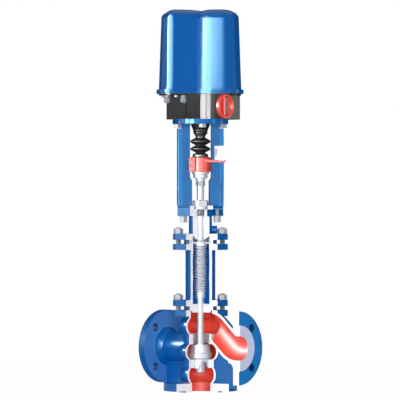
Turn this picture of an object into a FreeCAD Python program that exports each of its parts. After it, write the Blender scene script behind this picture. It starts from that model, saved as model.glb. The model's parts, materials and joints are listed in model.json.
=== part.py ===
"""Sectioned three-way control valve with a bellows seal, a cast yoke and an electric thrust actuator.

The flow axis runs along X, the stem along Z, and the bottom port faces down at z = 0.
The quadrant x > 0, y < 0 of the pressure parts is cut away, so that the trim can be seen.
The yoke and the actuator stand on the diagonal of the valve, turned by yoke_turn about the stem.
All lengths are in millimetres.
"""
import FreeCAD
import Part
import Sketcher
import math
import os
import re
from FreeCAD import Vector, Rotation, Placement

SIZES = {
    # Pipe flanges of nominal bore 50, pressure class 16
    "face_to_face": 230,
    "flow_height": 100,
    "flange_diameter": 165,
    "flange_thick": 20,
    "raised_diameter": 102,
    "raised_thick": 3,
    "bolt_circle": 125,
    "bolt_hole": 18,
    "right_bolt_hole": 18.5,
    "side_bore": 54,
    "bottom_bore": 58,
    "hub_run": 14,
    # Cast valve body
    "body_wall": 6,
    "lower_chamber": 82,
    "lower_chamber_height": 34.5,
    "middle_chamber": 92,
    "middle_chamber_height": 34.6,
    "upper_chamber": 88,
    "upper_chamber_height": 35,
    "seat_bore": 66,
    "lower_seat_height": 18.5,
    "upper_seat_height": 22.4,
    "neck_length": 18.4,
    "neck_bore": 67,
    "channel_lift": 2.5,
    "channel_start": 92,
    "channel_end": 37,
    "channel_bend": 34,
    "web_thick": 11,
    "web_recess": 1.5,
    # Square flanges between body, bellows housing and bonnet
    "square_side": 99,
    "square_corner": 20,
    "square_thick": 13.4,
    "stud_pitch": 70,
    "stud_diameter": 12,
    "nut_width": 19,
    "nut_thick": 12,
    "spigot_diameter": 74,
    "spigot_height": 3.6,
    "gasket_thick": 2,
    # Trim
    "lower_seat_bore": 44,
    "upper_seat_bore": 48,
    "flute_depth": 1.6,
    "flute_count": 20,
    "plug_waist": 41,
    "skirt_length": 20,
    "skirt_wall": 3.5,
    "window_width": 26,
    "pilot_diameter": 21,
    "pilot_length": 29,
    "shank_diameter": 17,
    "shank_length": 33,
    "stem_diameter": 16,
    "stem_spigot": 11,
    "pin_diameter": 3,
    "stroke": 20,
    # Bellows housing and bellows
    "housing_length": 139,
    "housing_bore": 53,
    "housing_wall": 7,
    "housing_land": 51,
    "housing_floor": 4.6,
    "hub_drop": 14.6,
    "bush_top": 30,
    "bush_bottom": 18,
    "bellows_diameter": 29,
    "bellows_root": 21,
    "bellows_count": 17,
    "bellows_gap": 14,
    "end_ring_height": 13,
    "end_ring_diameter": 22.4,
    "top_ring_diameter": 59,
    "top_ring_thick": 2.6,
    "top_cuff": 6,
    # Bonnet and stuffing box
    "bonnet_height": 68.4,
    "bonnet_neck": 52,
    "top_flange_side": 73,
    "top_flange_thick": 15,
    "box_bore": 23,
    "box_depth": 42,
    "washer_thick": 3,
    "gland_thread": 15,
    "gland_collar": 6.5,
    "gland_collar_diameter": 33,
    "gland_hex": 33,
    "gland_hex_height": 14,
    "boss_reach": 37.5,
    "boss_diameter": 19,
    # Yoke
    "yoke_turn": 45,
    "yoke_height": 201.5,
    "foot_thick": 8,
    "foot_bolt_pitch": 76,
    "foot_bolt_diameter": 9,
    "foot_bolt_head": 14,
    "yoke_outer": 51.7,
    "yoke_gap": 24,
    "yoke_gap_low": 19.6,
    "column_band": 11,
    "column_depth": 32,
    "column_web": 20,
    "low_column_height": 56,
    "column_chamfer": 8,
    "slot_width": 6,
    "slot_length": 46,
    "head_diameter": 125,
    "head_thick": 10.5,
    "head_bore": 52,
    "head_screw_circle": 102,
    "head_screw": 10,
    "bush_length": 8,
    "head_notch": 10,
    "foot_bolt_depth": 22,
    "foot_bolt_width": 16,
    "head_screw_width": 16,
    "head_screw_head": 8.5,
    "head_screw_depth": 5,
    # Stem coupling, indicator and boot
    "lock_nut_rise": 52,
    "lock_nut_height": 10.5,
    "lock_nut_width": 18,
    "coupling_step": 7.5,
    "coupling_neck": 21.2,
    "coupling_body": 32,
    "coupling_body_height": 9,
    "coupling_ring": 38,
    "coupling_ring_height": 5,
    "clamp_height": 33,
    "clamp_diameter": 45.8,
    "clamp_ear": 28,
    "pointer_reach": 55,
    "pointer_thick": 6,
    "scale_height": 33,
    "scale_width": 21,
    "scale_thick": 1.5,
    "boot_cuff": 34.8,
    "boot_fold": 46.8,
    "boot_neck": 22,
    "boot_collar": 32,
    "boot_collar_height": 23,
    "boot_flare": 44,
    "clamp_ear_back": 11.3,
    "clamp_screw": 4,
    "clamp_screw_head": 2.5,
    "clamp_screw_low": 6,
    "clamp_screw_high": 21,
    "pointer_rise": 21,
    "pointer_front": 21.5,
    "pointer_width": 3.5,
    "scale_gap": 0.8,
    "boot_cuff_height": 9,
    "spindle_reach": 30,
    "wheel_shaft_start": 24,
    # Actuator
    "spindle_diameter": 14,
    "gear_case_height": 57.5,
    "case_wall": 4,
    "lobe_offset": 35,
    "case_lobe": 108,
    "case_left": 74.5,
    "case_centre": 76,
    "case_middle": 33,
    "case_left_depth": 44,
    "rim_thick": 4,
    "gland_offset_far": 78,
    "gland_offset_near": 41.4,
    "gland_front": 32.3,
    "gland_diameter": 14,
    "gland_drop": 18,
    "gland_thread_diameter": 10,
    "cable_entry": 6,
    "wheel_boss_diameter": 30,
    "boss_start": 35,
    "seal_thick": 1.2,
    "cover_screw": 5,
    "cover_screw_head": 9,
    "cover_screw_depth": 10,
    "cover_screw_x": 58,
    "cover_screw_y": 40.5,
    "cover_screw_end": 84.5,
    "cover_height": 188.5,
    "cover_wall": 3,
    "cover_offset": 37.1,
    "cover_lobe": 109.8,
    "cover_left": 92,
    "cover_front": 53,
    "cover_joint": 12,
    "cover_valley": 21,
    "cover_shoulder": 74,
    "cover_side": 24,
    "cover_corner": 12,
    "cover_taper": 2,
    "crown_width": 32,
    "crown_height": 21,
    "crown_edge": 15,
    "lip_height": 9,
    "lip_width": 5,
    "wheel_height": 28.5,
    "wheel_diameter": 55,
    "wheel_face": 76.9,
    "wheel_thick": 9.2,
    "grip_width": 14,
    "grip_slot": 8,
    "wheel_shaft": 10,
    "crank_thick": 6,
    "crank_pin": 2.4,
    # Drive inside the actuator
    "tooth_module": 1.5,
    "nut_teeth": 40,
    "motor_teeth": 16,
    "gear_width": 8,
    "nut_hub": 30,
    "nut_length": 41,
    "motor_diameter": 52,
    "motor_length": 90,
    "backlash": 0.3,
    "bevel_radius": 24,
    "bevel_width": 8,
    "bevel_teeth": 32,
    "pinion_teeth": 16,
    "bearing_height": 7,
    "bearing_diameter": 34,
    "bearing_shoulder": 1,
    "motor_shaft": 8,
    "motor_shaft_depth": 12,
    "motor_foot": 4,
    "plate_thick": 3,
    "nut_journal": 22,
    "nut_dish_diameter": 38,
    "gear_lift": 0.8,
    "pressure_angle": 20,
    "tooth_tip": 0.8,
    "tooth_root": 1.15,
    "board_width": 50,
    "board_thick": 1.6,
    "board_height": 95,
    "terminal_depth": 11,
    "switch_width": 8,
    "switch_depth": 10,
    "switch_height": 22,
    "cam_diameter": 22,
    "cam_thick": 4,
    # Clearances
    "slide_fit": 0.08,
    "seat_fit": 0.05,
    "bolt_clearance": 0.5,
    "free_gap": 0.3,
}

doc = FreeCAD.newDocument("control_valve")
sheet = doc.addObject("Spreadsheet::Sheet", "Sizes")
for row, (alias, number) in enumerate(SIZES.items(), start=1):
    sheet.set(f"A{row}", str(number))
    sheet.setAlias(f"A{row}", alias)
doc.recompute()

ALIAS = re.compile(r"\b(" + "|".join(SIZES) + r")\b")
QUARTER = Rotation(Vector(0, 1, 0), 90)


def linked(expression):
    """The expression with every size name pointing at its cell of the sheet."""
    return ALIAS.sub(r"Sizes.\1", str(expression))


def value(expression):
    """The number that a size expression gives."""
    result = sheet.evalExpression(linked(expression))
    return float(getattr(result, "Value", result))


def bind(thing, **expressions):
    """Tie properties of a document object to size expressions; a double underscore stands for a dot."""
    for name, expression in expressions.items():
        thing.setExpression(name.replace("__", "."), linked(expression))
    return thing


def place(thing, x="0", y="0", z="0"):
    """Tie the position of a document object to size expressions."""
    return bind(thing, Placement__Base__x=x, Placement__Base__y=y, Placement__Base__z=z)


def turn_to_yoke(thing):
    """Turn a piece that was drawn along X onto the diagonal that the yoke stands on."""
    thing.Placement = Placement(Vector(), Rotation(Vector(0, 0, 1), value("yoke_turn")))
    return bind(thing, Placement__Rotation__Angle="yoke_turn")


# Heights of the joints between the main pieces, from the bottom port upwards
LOWER_SEAT_BASE = "(flange_thick + lower_chamber_height)"
LOWER_SEAT_TOP = f"({LOWER_SEAT_BASE} + lower_seat_height)"
UPPER_SEAT_BASE = f"({LOWER_SEAT_TOP} + middle_chamber_height)"
UPPER_SEAT_TOP = f"({UPPER_SEAT_BASE} + upper_seat_height)"
NECK_BASE = f"({UPPER_SEAT_TOP} + upper_chamber_height)"
BODY_TOP = f"({NECK_BASE} + neck_length)"
GASKET_BASE = f"({BODY_TOP} + spigot_height)"
HOUSING_BASE = f"({GASKET_BASE} + gasket_thick)"
HOUSING_FLANGE = f"({HOUSING_BASE} + spigot_height)"
HOUSING_FLOOR = f"({HOUSING_FLANGE} + housing_floor)"
HOUSING_TOP = f"({HOUSING_FLANGE} + housing_length)"
BONNET_GASKET_BASE = f"({HOUSING_TOP} + spigot_height)"
BONNET_SPIGOT = f"({BONNET_GASKET_BASE} + gasket_thick)"
BONNET_BASE = f"({BONNET_SPIGOT} + spigot_height)"
BONNET_TOP = f"({BONNET_BASE} + bonnet_height)"
TOP_FLANGE_BASE = f"({BONNET_TOP} - top_flange_thick)"
FOOT_TOP = f"({BONNET_TOP} + foot_thick)"
YOKE_TOP = f"({BONNET_TOP} + yoke_height)"
HEAD_BASE = f"({YOKE_TOP} - head_thick)"
COVER_BASE = f"({YOKE_TOP} + gear_case_height)"
COVER_TOP = f"({COVER_BASE} + cover_height)"
BOX_BASE = f"({BONNET_TOP} - box_depth)"
LOCK_NUT_BASE = f"({BONNET_TOP} + lock_nut_rise)"
COUPLING_BASE = f"({LOCK_NUT_BASE} + lock_nut_height)"
COUPLING_SHOULDER = f"({COUPLING_BASE} + coupling_step)"
COUPLING_RING_BASE = f"({COUPLING_SHOULDER} + coupling_body_height)"
CLAMP_BASE = f"({COUPLING_RING_BASE} + coupling_ring_height)"
CLAMP_TOP = f"({CLAMP_BASE} + clamp_height)"
COLLAR_BASE = f"({YOKE_TOP} - head_thick - boot_collar_height)"
END_RING_BASE = f"({HOUSING_FLOOR} + bellows_gap)"
BELLOWS_BASE = f"({END_RING_BASE} + end_ring_height)"
TOP_RING_BASE = f"({BONNET_GASKET_BASE} - top_ring_thick)"
BELLOWS_TOP = f"({TOP_RING_BASE} - top_cuff)"
WHEEL_AXIS = f"({YOKE_TOP} + wheel_height)"
SPINDLE_TOP = f"({COVER_BASE} + spindle_reach)"
CASE_FLOOR = f"({YOKE_TOP} + case_wall)"
RIM_BASE = f"({COVER_BASE} - rim_thick)"
RIM_TOP = f"({COVER_BASE} - seal_thick)"
NUT_TOP = f"({CASE_FLOOR} + nut_length)"
PLATE_BASE = f"({NUT_TOP} + bearing_height + bearing_shoulder)"
PLATE_TOP = f"({PLATE_BASE} + plate_thick)"
POINTER_BASE = f"({CLAMP_BASE} + pointer_rise)"
CHANNEL_AXIS = f"({UPPER_SEAT_TOP} + upper_chamber_height / 2 + channel_lift)"
CHANNEL_RISE = f"({CHANNEL_AXIS} - flow_height)"
GEAR_BASE = f"({CASE_FLOOR} + gear_lift)"
GEAR_TOP = f"({GEAR_BASE} + gear_width)"
MOTOR_DISTANCE = "(tooth_module * (nut_teeth + motor_teeth) / 2)"


def shape_part(kind, name, **expressions):
    """A Part primitive with its sizes tied to the sheet."""
    return bind(doc.addObject("Part::" + kind, name), **expressions)


def cylinder(name, diameter, height, x="0", y="0", z="0"):
    thing = shape_part("Cylinder", name, Radius=f"({diameter}) / 2", Height=height)
    return place(thing, x, y, z)


def cross_cylinder(name, diameter, length, x="0", y="0", z="0"):
    """A cylinder whose axis runs along +X from the given point."""
    thing = shape_part("Cylinder", name, Radius=f"({diameter}) / 2", Height=length)
    thing.Placement = Placement(Vector(), QUARTER)
    return place(thing, x, y, z)


def block(name, length, width, height, x="0", y="0", z="0"):
    """A box centred on x and y, standing on z."""
    thing = shape_part("Box", name, Length=length, Width=width, Height=height)
    return place(thing, f"({x}) - ({length}) / 2", f"({y}) - ({width}) / 2", z)


def hexagon(name, across_flats, height, x="0", y="0", z="0"):
    thing = shape_part("Prism", name, Circumradius=f"({across_flats}) / 2 / cos(30)", Height=height)
    thing.Polygon = 6
    return place(thing, x, y, z)


def fused(name, *things):
    union = doc.addObject("Part::MultiFuse", name)
    union.Shapes = list(things)
    return union


def cut(name, base, tool):
    result = doc.addObject("Part::Cut", name)
    result.Base = base
    result.Tool = tool
    return result


def grouped(name, things):
    """Separate solids that share one node."""
    group = doc.addObject("Part::Compound", name)
    group.Links = list(things)
    return group


def body(name):
    return doc.addObject("PartDesign::Body", name)


def sketch_on(owner, name, plane, rise="0", lift="0"):
    """A sketch on an origin plane of its body, moved along the plane's normal and its own vertical."""
    drawing = owner.newObject("Sketcher::SketchObject", name)
    origin_plane = next(f for f in owner.Origin.OriginFeatures if f.Role == plane)
    drawing.AttachmentSupport = [(origin_plane, "")]
    drawing.MapMode = "FlatFace"
    return bind(drawing, AttachmentOffset__Base__z=rise, AttachmentOffset__Base__y=lift)


def pin_point(drawing, edge, end, x, y):
    """Tie one end of an edge to the position given by two size expressions."""
    rules = []
    for kind, axis, expression in (("DistanceX", -2, x), ("DistanceY", -1, y)):
        if str(expression) == "0":
            drawing.addConstraint(Sketcher.Constraint("PointOnObject", edge, end, axis))
        else:
            rules.append((kind, expression))
    for kind, expression in rules:
        number = drawing.addConstraint(Sketcher.Constraint(kind, -1, 1, edge, end, value(expression)))
        drawing.setExpression(f"Constraints[{number}]", linked(expression))


def arc_between(start, end, radius, bulge):
    """An arc of the given radius from start to end; bulge +1 curves to the left of the way, -1 to the right."""
    chord = end - start
    rise = math.sqrt(max(radius * radius - chord.Length ** 2 / 4, 0))
    side = Vector(-chord.y, chord.x, 0).normalize() * bulge
    middle = (start + end) / 2 + side * (radius - rise)
    return Part.Arc(start, middle, end)


def outline(drawing, points, closed=True):
    """An outline or open path. Each point is (x, y), or (x, y, radius, bulge) where an arc leads to the next."""
    corners = [Vector(value(p[0]), value(p[1]), 0) for p in points]
    count = len(points) if closed else len(points) - 1
    ends = []
    for index, point in enumerate(points[:count]):
        start = corners[index]
        end = corners[(index + 1) % len(points)]
        if len(point) == 2:
            drawing.addGeometry(Part.LineSegment(start, end), False)
            ends.append((1, 2))
            continue
        drawing.addGeometry(arc_between(start, end, value(point[2]), point[3]), False)
        ends.append((1, 2) if point[3] < 0 else (2, 1))
    for index in range(count if closed else count - 1):
        following = (index + 1) % count
        rule = Sketcher.Constraint("Coincident", index, ends[index][1], following, ends[following][0])
        drawing.addConstraint(rule)
    if not closed:
        pin_point(drawing, count - 1, ends[-1][1], *points[-1])
    for index, point in enumerate(points[:count]):
        pin_point(drawing, index, ends[index][0], point[0], point[1])
        if len(point) == 4:
            rule = Sketcher.Constraint("Radius", index, value(point[2]))
            number = drawing.addConstraint(rule)
            drawing.setExpression(f"Constraints[{number}]", linked(point[2]))
    return drawing


def circle(drawing, diameter, x="0", y="0"):
    centre = Vector(value(x), value(y), 0)
    edge = drawing.addGeometry(Part.Circle(centre, Vector(0, 0, 1), value(diameter) / 2), False)
    pin_point(drawing, edge, 3, x, y)
    number = drawing.addConstraint(Sketcher.Constraint("Diameter", edge, value(diameter)))
    drawing.setExpression(f"Constraints[{number}]", linked(diameter))
    return drawing


def rounded_rectangle(drawing, width, depth, corner):
    w, d, r = f"({width}) / 2", f"({depth}) / 2", f"({corner})"
    return outline(drawing, [
        (f"-({w} - {r})", f"-{d}"), (f"{w} - {r}", f"-{d}", r, -1),
        (w, f"-({d} - {r})"), (w, f"{d} - {r}", r, -1),
        (f"{w} - {r}", d), (f"-({w} - {r})", d, r, -1),
        (f"-{w}", f"{d} - {r}"), (f"-{w}", f"-({d} - {r})", r, -1),
    ])


def feature(owner, kind, name, drawing, **settings):
    """A PartDesign feature made from a sketch."""
    made = owner.newObject("PartDesign::" + kind, name)
    made.Profile = drawing
    for key, setting in settings.items():
        setattr(made, key, setting)
    return made


def spin(owner, name, points, plane="XZ_Plane", lift="0", kind="Revolution", axis="V_Axis"):
    """A turned form: a closed outline on a plane of the body, revolved about one of its axes."""
    drawing = outline(sketch_on(owner, name + "_profile", plane, lift=lift), points)
    return feature(owner, kind, name, drawing, ReferenceAxis=(drawing, [axis]), Angle=360)


def pad(owner, name, drawing, length, **settings):
    return bind(feature(owner, "Pad", name, drawing, **settings), Length=length)


def pocket(owner, name, drawing, length, **settings):
    return bind(feature(owner, "Pocket", name, drawing, **settings), Length=length)


def polar(owner, name, original, count, axis_role="Z_Axis"):
    """Copies of a feature spread evenly about an axis of the body."""
    pattern = owner.newObject("PartDesign::PolarPattern", name)
    pattern.Originals = [original]
    axis = next(f for f in owner.Origin.OriginFeatures if f.Role == axis_role)
    pattern.Axis = (axis, [""])
    pattern.Angle = 360
    bind(pattern, Occurrences=count)
    owner.Tip = pattern
    return pattern


def turned(name, points):
    """A whole piece that is one turned form about the stem axis."""
    owner = body(name)
    spin(owner, name + "_turn", points)
    return owner


def ring(name, inner, outer, height, z):
    """A plain ring about the stem axis."""
    i, o = f"({inner}) / 2", f"({outer}) / 2"
    return turned(name, [(i, z), (o, z), (o, f"({z}) + ({height})"), (i, f"({z}) + ({height})")])


def section(name, whole):
    """The piece with the quadrant x > 0, y < 0 cut away, up to the top of the yoke's foot."""
    tool = shape_part("Box", name + "_window", Length="face_to_face", Width="face_to_face",
                      Height=f"{FOOT_TOP} + raised_thick")
    place(tool, "0", "-face_to_face", "-raised_thick")
    return cut(name + "_section", whole, tool)


def sagitta_radius(chord, bulge):
    """Radius of the arc that bulges by the given amount over the given chord."""
    return f"((({chord}) ^ 2 / 4 + ({bulge}) ^ 2) / (2 * ({bulge})))"


PARTS = []


def keep(thing, label):
    """Name a finished sub-part."""
    thing.Label = label
    PARTS.append(thing)
    return thing


def chamber_steps(wall):
    """The stack of three bulging chambers with the seat bores between them, grown outwards by a wall."""
    low = f"(bottom_bore / 2 + {wall})"
    seat = f"(seat_bore / 2 + {wall})"
    neck = f"(neck_bore / 2 + {wall})"
    chambers = (
        (low, "flange_thick", "lower_chamber", "lower_chamber_height"),
        (seat, LOWER_SEAT_TOP, "middle_chamber", "middle_chamber_height"),
        (seat, UPPER_SEAT_TOP, "upper_chamber", "upper_chamber_height"),
    )
    points = []
    for start, base, width, height in chambers:
        bulge = f"(({width}) / 2 - seat_bore / 2)"
        radius = sagitta_radius(height, bulge)
        top = neck if base == UPPER_SEAT_TOP else seat
        points.append((start, base, radius, -1))
        points.append((top, f"{base} + {height}"))
    return points


def flange_profile(sign):
    """Side flange with raised face and hub, as radius over distance along the flow axis."""
    face = f"({sign}face_to_face / 2)"
    outward = "-" if sign == "-" else "+"
    back = f"({face} - ({outward}flange_thick))"
    shoulder = f"({face} - ({outward}raised_thick))"
    foot = f"({back} - ({outward}hub_run))"
    neck = "(side_bore / 2 + body_wall)"
    points = [
        (face, "0"), (face, "raised_diameter / 2"),
        (shoulder, "raised_diameter / 2"), (shoulder, "flange_diameter / 2"),
        (back, "flange_diameter / 2"),
        (back, f"{neck} + hub_run", "hub_run", -1 if sign == "-" else 1),
        (foot, neck),
    ]
    if sign == "-":
        return points + [("0", neck), ("0", "0")]
    return points + [(foot, "0")]


def channel(name, diameter, mouth):
    """A pipe from the right port, sloping up to the upper chamber through two bends."""
    slope = f"atan2({CHANNEL_RISE}; channel_start - channel_end)"
    lead = f"(channel_bend * tan({slope} / 2))"
    along, up = f"({lead} * cos({slope}))", f"({lead} * sin({slope}))"
    owner = body(name)
    way = outline(sketch_on(owner, name + "_way", "XZ_Plane"), [
        (mouth, "flow_height"),
        (f"channel_start + {lead}", "flow_height", "channel_bend", 1),
        (f"channel_start - {along}", f"flow_height + {up}"),
        (f"channel_end + {along}", f"{CHANNEL_AXIS} - {up}", "channel_bend", -1),
        (f"channel_end - {lead}", CHANNEL_AXIS),
        ("0", CHANNEL_AXIS),
    ], closed=False)
    round_face = circle(sketch_on(owner, name + "_round", "YZ_Plane", mouth), diameter, "0", "flow_height")
    feature(owner, "AdditivePipe", name + "_pipe", round_face, Spine=(way, []))
    return owner


def square_plate(name, side, corner, thick, z):
    """A square flange with rounded corners, its sides along X and Y."""
    owner = body(name)
    pad(owner, name + "_pad", rounded_rectangle(sketch_on(owner, name + "_square", "XY_Plane", z), side, side,
                                                corner), thick)
    return owner


def stud_places():
    """Centres of the three studs that the cut leaves."""
    half = "(stud_pitch / 2)"
    return ((half, half), (f"-{half}", half), (f"-{half}", f"-{half}"))


def stud_holes(name, base, height):
    return [cylinder(f"{name}_{n}", "stud_diameter + bolt_clearance", height, x, y, base)
            for n, (x, y) in enumerate(stud_places())]


def make_valve_body():
    neck = "(neck_bore / 2 + body_wall)"
    stack = turned("stack", [
        ("0", "0"), ("raised_diameter / 2", "0"), ("raised_diameter / 2", "raised_thick"),
        ("flange_diameter / 2", "raised_thick"), ("flange_diameter / 2", "flange_thick"),
        *chamber_steps("body_wall"),
        (neck, BODY_TOP), ("spigot_diameter / 2", BODY_TOP), ("spigot_diameter / 2", GASKET_BASE),
        ("0", GASKET_BASE),
    ])
    plate = square_plate("body_flange", "square_side", "square_corner", "square_thick",
                         f"{BODY_TOP} - square_thick")
    ports = []
    for label, sign in (("left", "-"), ("right", "")):
        port = body(label + "_port")
        spin(port, label + "_flange", flange_profile(sign), lift="flow_height", axis="H_Axis")
        ports.append(port)
    back = "(face_to_face / 2 - flange_thick)"
    left_web = block("left_web", back, "web_thick", "flow_height - flange_thick", f"-{back} / 2", "0",
                     "flange_thick / 2")
    right_web = body("right_web")
    web = outline(sketch_on(right_web, "web_outline", "XZ_Plane", "-(web_recess + web_thick / 4)"), [
        ("seat_bore / 2", "flange_thick / 2"), (back, "flange_thick / 2"), (back, "flow_height - side_bore / 2"),
        ("channel_end", f"{CHANNEL_AXIS} - side_bore / 2"),
    ])
    pad(right_web, "web_pad", web, "web_thick / 2", Midplane=True)
    wall = channel("channel_wall", "side_bore + 2 * body_wall", "(face_to_face / 2 - raised_thick)")
    cast = fused("cast", stack, plate, *ports, left_web, right_web, wall)
    chambers = turned("chambers", [
        ("0", "-raised_thick"), ("bottom_bore / 2", "-raised_thick"),
        *chamber_steps("0"),
        ("neck_bore / 2", f"{GASKET_BASE} + raised_thick"), ("0", f"{GASKET_BASE} + raised_thick"),
    ])
    left_bore = cross_cylinder("left_bore", "side_bore", "face_to_face", "-face_to_face", "0", "flow_height")
    holes = stud_holes("body_hole", f"{BODY_TOP} - 2 * square_thick", "4 * square_thick")
    row = "(bolt_circle / 2 * sin(45))"
    length = "(flange_thick + 1)"
    for n, (p, q) in enumerate(((1, 1), (1, -1), (-1, 1), (-1, -1))):
        across = f"{p} * {row}"
        rise = f"flow_height + {q} * {row}"
        holes.append(cylinder(f"bottom_hole_{n}", "bolt_hole", "flange_thick * 2", across, f"{q} * {row}",
                              "-flange_thick / 2"))
        holes.append(cross_cylinder(f"left_hole_{n}", "bolt_hole", length, f"-({back} + {length} - 0.5)", across, rise))
        holes.append(cross_cylinder(f"right_hole_{n}", "right_bolt_hole", length, f"{back} - 0.5", across, rise))
    right_bore = channel("channel_bore", "side_bore", "(face_to_face / 2 + 1)")
    tools = fused("body_tools", chambers, left_bore, right_bore, *holes)
    keep(section("valve_body", cut("machined", cast, tools)), "valve_body")


def make_seats():
    outer = "(seat_bore / 2 - seat_fit)"
    lower = turned("lower_ring", [
        ("lower_seat_bore / 2", LOWER_SEAT_BASE), (outer, LOWER_SEAT_BASE), (outer, LOWER_SEAT_TOP),
        ("lower_seat_bore / 2 + 1", LOWER_SEAT_TOP), ("lower_seat_bore / 2", f"{LOWER_SEAT_TOP} - 1"),
    ])
    keep(section("lower_seat", lower), "lower_seat_ring")
    upper = turned("upper_ring", [
        ("upper_seat_bore / 2", f"{UPPER_SEAT_BASE} + 1"), ("upper_seat_bore / 2 + 1", UPPER_SEAT_BASE),
        (outer, UPPER_SEAT_BASE), (outer, UPPER_SEAT_TOP), ("upper_seat_bore / 2", UPPER_SEAT_TOP),
    ])
    drawing = sketch_on(upper, "flute_circle", "XY_Plane", f"{UPPER_SEAT_BASE} + 4")
    circle(drawing, "2 * flute_depth", "upper_seat_bore / 2", "0")
    flute = pocket(upper, "flute", drawing, "upper_seat_height", Reversed=True)
    polar(upper, "flutes", flute, "flute_count")
    keep(section("upper_seat", upper), "upper_seat_ring")


def make_plug():
    """Double plug: a barrel between two seats, with a windowed skirt, a pilot below and a shank above."""
    contact = "(lower_seat_bore / 2 + 0.5)"
    shoulder = f"({contact} + 3)"
    base = f"({LOWER_SEAT_TOP} + 0.2)"
    rise = f"({UPPER_SEAT_BASE} - stroke - 0.3)"
    skirt = "(lower_seat_bore / 2 - slide_fit)"
    top = f"({UPPER_SEAT_BASE} - 2)"
    owner = turned("plug", [
        ("0", f"{base} - pilot_length"), ("pilot_diameter / 2", f"{base} - pilot_length"),
        ("pilot_diameter / 2", f"{base} - 4"), (f"{skirt} - skirt_wall", f"{base} - 4"),
        (f"{skirt} - skirt_wall", f"{base} - skirt_length"), (skirt, f"{base} - skirt_length"),
        (skirt, base), (shoulder, f"{base} + 3"), (shoulder, f"{rise} - 1"),
        ("upper_seat_bore / 2 + 0.5", rise), ("upper_seat_bore / 2 - free_gap", f"{rise} + 1"),
        ("plug_waist / 2", top), ("shank_diameter / 2", top),
        ("shank_diameter / 2", f"{top} + shank_length"), ("stem_spigot / 2", f"{top} + shank_length"),
        ("stem_spigot / 2", top), ("0", top),
    ])
    window = outline(sketch_on(owner, "window_outline", "XZ_Plane"), [
        ("-window_width / 2", f"{base} - skirt_length - 1"), ("window_width / 2", f"{base} - skirt_length - 1"),
        ("window_width / 6", f"{base} - 4.5"), ("-window_width / 6", f"{base} - 4.5"),
    ])
    # The windows start outside the pilot, so only the skirt is pierced
    opening = pocket(owner, "window", window, "lower_seat_bore")
    polar(owner, "windows", opening, "3")
    pilot = cylinder("pilot_core", "pilot_diameter", "pilot_length", "0", "0", f"{base} - pilot_length")
    pin_z = f"({top} + shank_length - 6)"
    hole = cross_cylinder("pin_hole", "pin_diameter", "shank_diameter * 2", "-shank_diameter", "0", pin_z)
    keep(cut("plug_drilled", fused("plug_whole", owner, pilot), hole), "valve_plug")
    stem_top = f"({COUPLING_SHOULDER} + coupling_body_height)"
    length = f"({top} + shank_length)"
    stem = turned("stem", [
        ("0", f"{top} + 1"), ("stem_spigot / 2 - seat_fit", f"{top} + 1"),
        ("stem_spigot / 2 - seat_fit", length), ("stem_diameter / 2", length),
        ("stem_diameter / 2", f"{COUPLING_BASE} - 2"), ("stem_diameter / 2 - 2", COUPLING_BASE),
        ("stem_diameter / 2 - 2", stem_top), ("0", stem_top),
    ])
    stem_hole = cross_cylinder("stem_pin_hole", "pin_diameter", "shank_diameter * 2", "-shank_diameter", "0", pin_z)
    keep(cut("stem_drilled", stem, stem_hole), "valve_stem")
    keep(cross_cylinder("pin", "pin_diameter - 2 * seat_fit", "shank_diameter + 1", "-(shank_diameter + 1) / 2", "0",
                        pin_z), "plug_pin")


def make_housing():
    neck = "(neck_bore / 2 - seat_fit)"
    wall = "(housing_bore / 2 + housing_wall)"
    hub_base = f"{HOUSING_FLANGE} - hub_drop"
    outside = turned("housing_outside", [
        ("0", hub_base), (f"{neck} - 6", hub_base), (neck, f"{hub_base} + 6"), (neck, HOUSING_BASE),
        ("spigot_diameter / 2", HOUSING_BASE), ("spigot_diameter / 2", HOUSING_FLANGE), (wall, HOUSING_FLANGE),
        (wall, f"{HOUSING_TOP} - 2"), ("spigot_diameter / 2", f"{HOUSING_TOP} - 2"),
        ("spigot_diameter / 2", BONNET_GASKET_BASE), ("0", BONNET_GASKET_BASE),
    ])
    recess = "(top_ring_diameter / 2 + seat_fit)"
    land = "housing_land / 2"
    bore = "housing_bore / 2"
    inside = turned("housing_inside", [
        ("0", f"{hub_base} - 1"), ("bush_bottom / 2", f"{hub_base} - 1"), ("bush_bottom / 2", hub_base),
        ("bush_top / 2", HOUSING_FLOOR), (bore, HOUSING_FLOOR), (bore, f"{HOUSING_FLOOR} + 49"),
        (land, f"{HOUSING_FLOOR} + 52"), (land, f"{HOUSING_FLOOR} + 67"), (bore, f"{HOUSING_FLOOR} + 70"),
        (bore, f"{HOUSING_TOP} - 23"), (land, f"{HOUSING_TOP} - 20"), (land, TOP_RING_BASE),
        (recess, TOP_RING_BASE), (recess, f"{BONNET_GASKET_BASE} + 1"), ("0", f"{BONNET_GASKET_BASE} + 1"),
    ])
    low = square_plate("housing_foot", "square_side", "square_corner", "square_thick", HOUSING_FLANGE)
    high = square_plate("housing_head", "square_side", "square_corner", "square_thick",
                        f"{HOUSING_TOP} - square_thick")
    holes = stud_holes("housing_hole", HOUSING_BASE, "housing_length + 2 * spigot_height")
    machined = cut("housing_machined", fused("housing_cast", outside, low, high),
                   fused("housing_tools", inside, *holes))
    keep(section("housing", machined), "bellows_housing")
    guide = turned("guide", [
        ("stem_diameter / 2 + slide_fit", hub_base), ("bush_bottom / 2 - seat_fit", hub_base),
        ("bush_top / 2 - seat_fit", HOUSING_FLOOR), ("stem_diameter / 2 + slide_fit", HOUSING_FLOOR),
    ])
    keep(section("guide_bush_cut", guide), "guide_bush")


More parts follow.
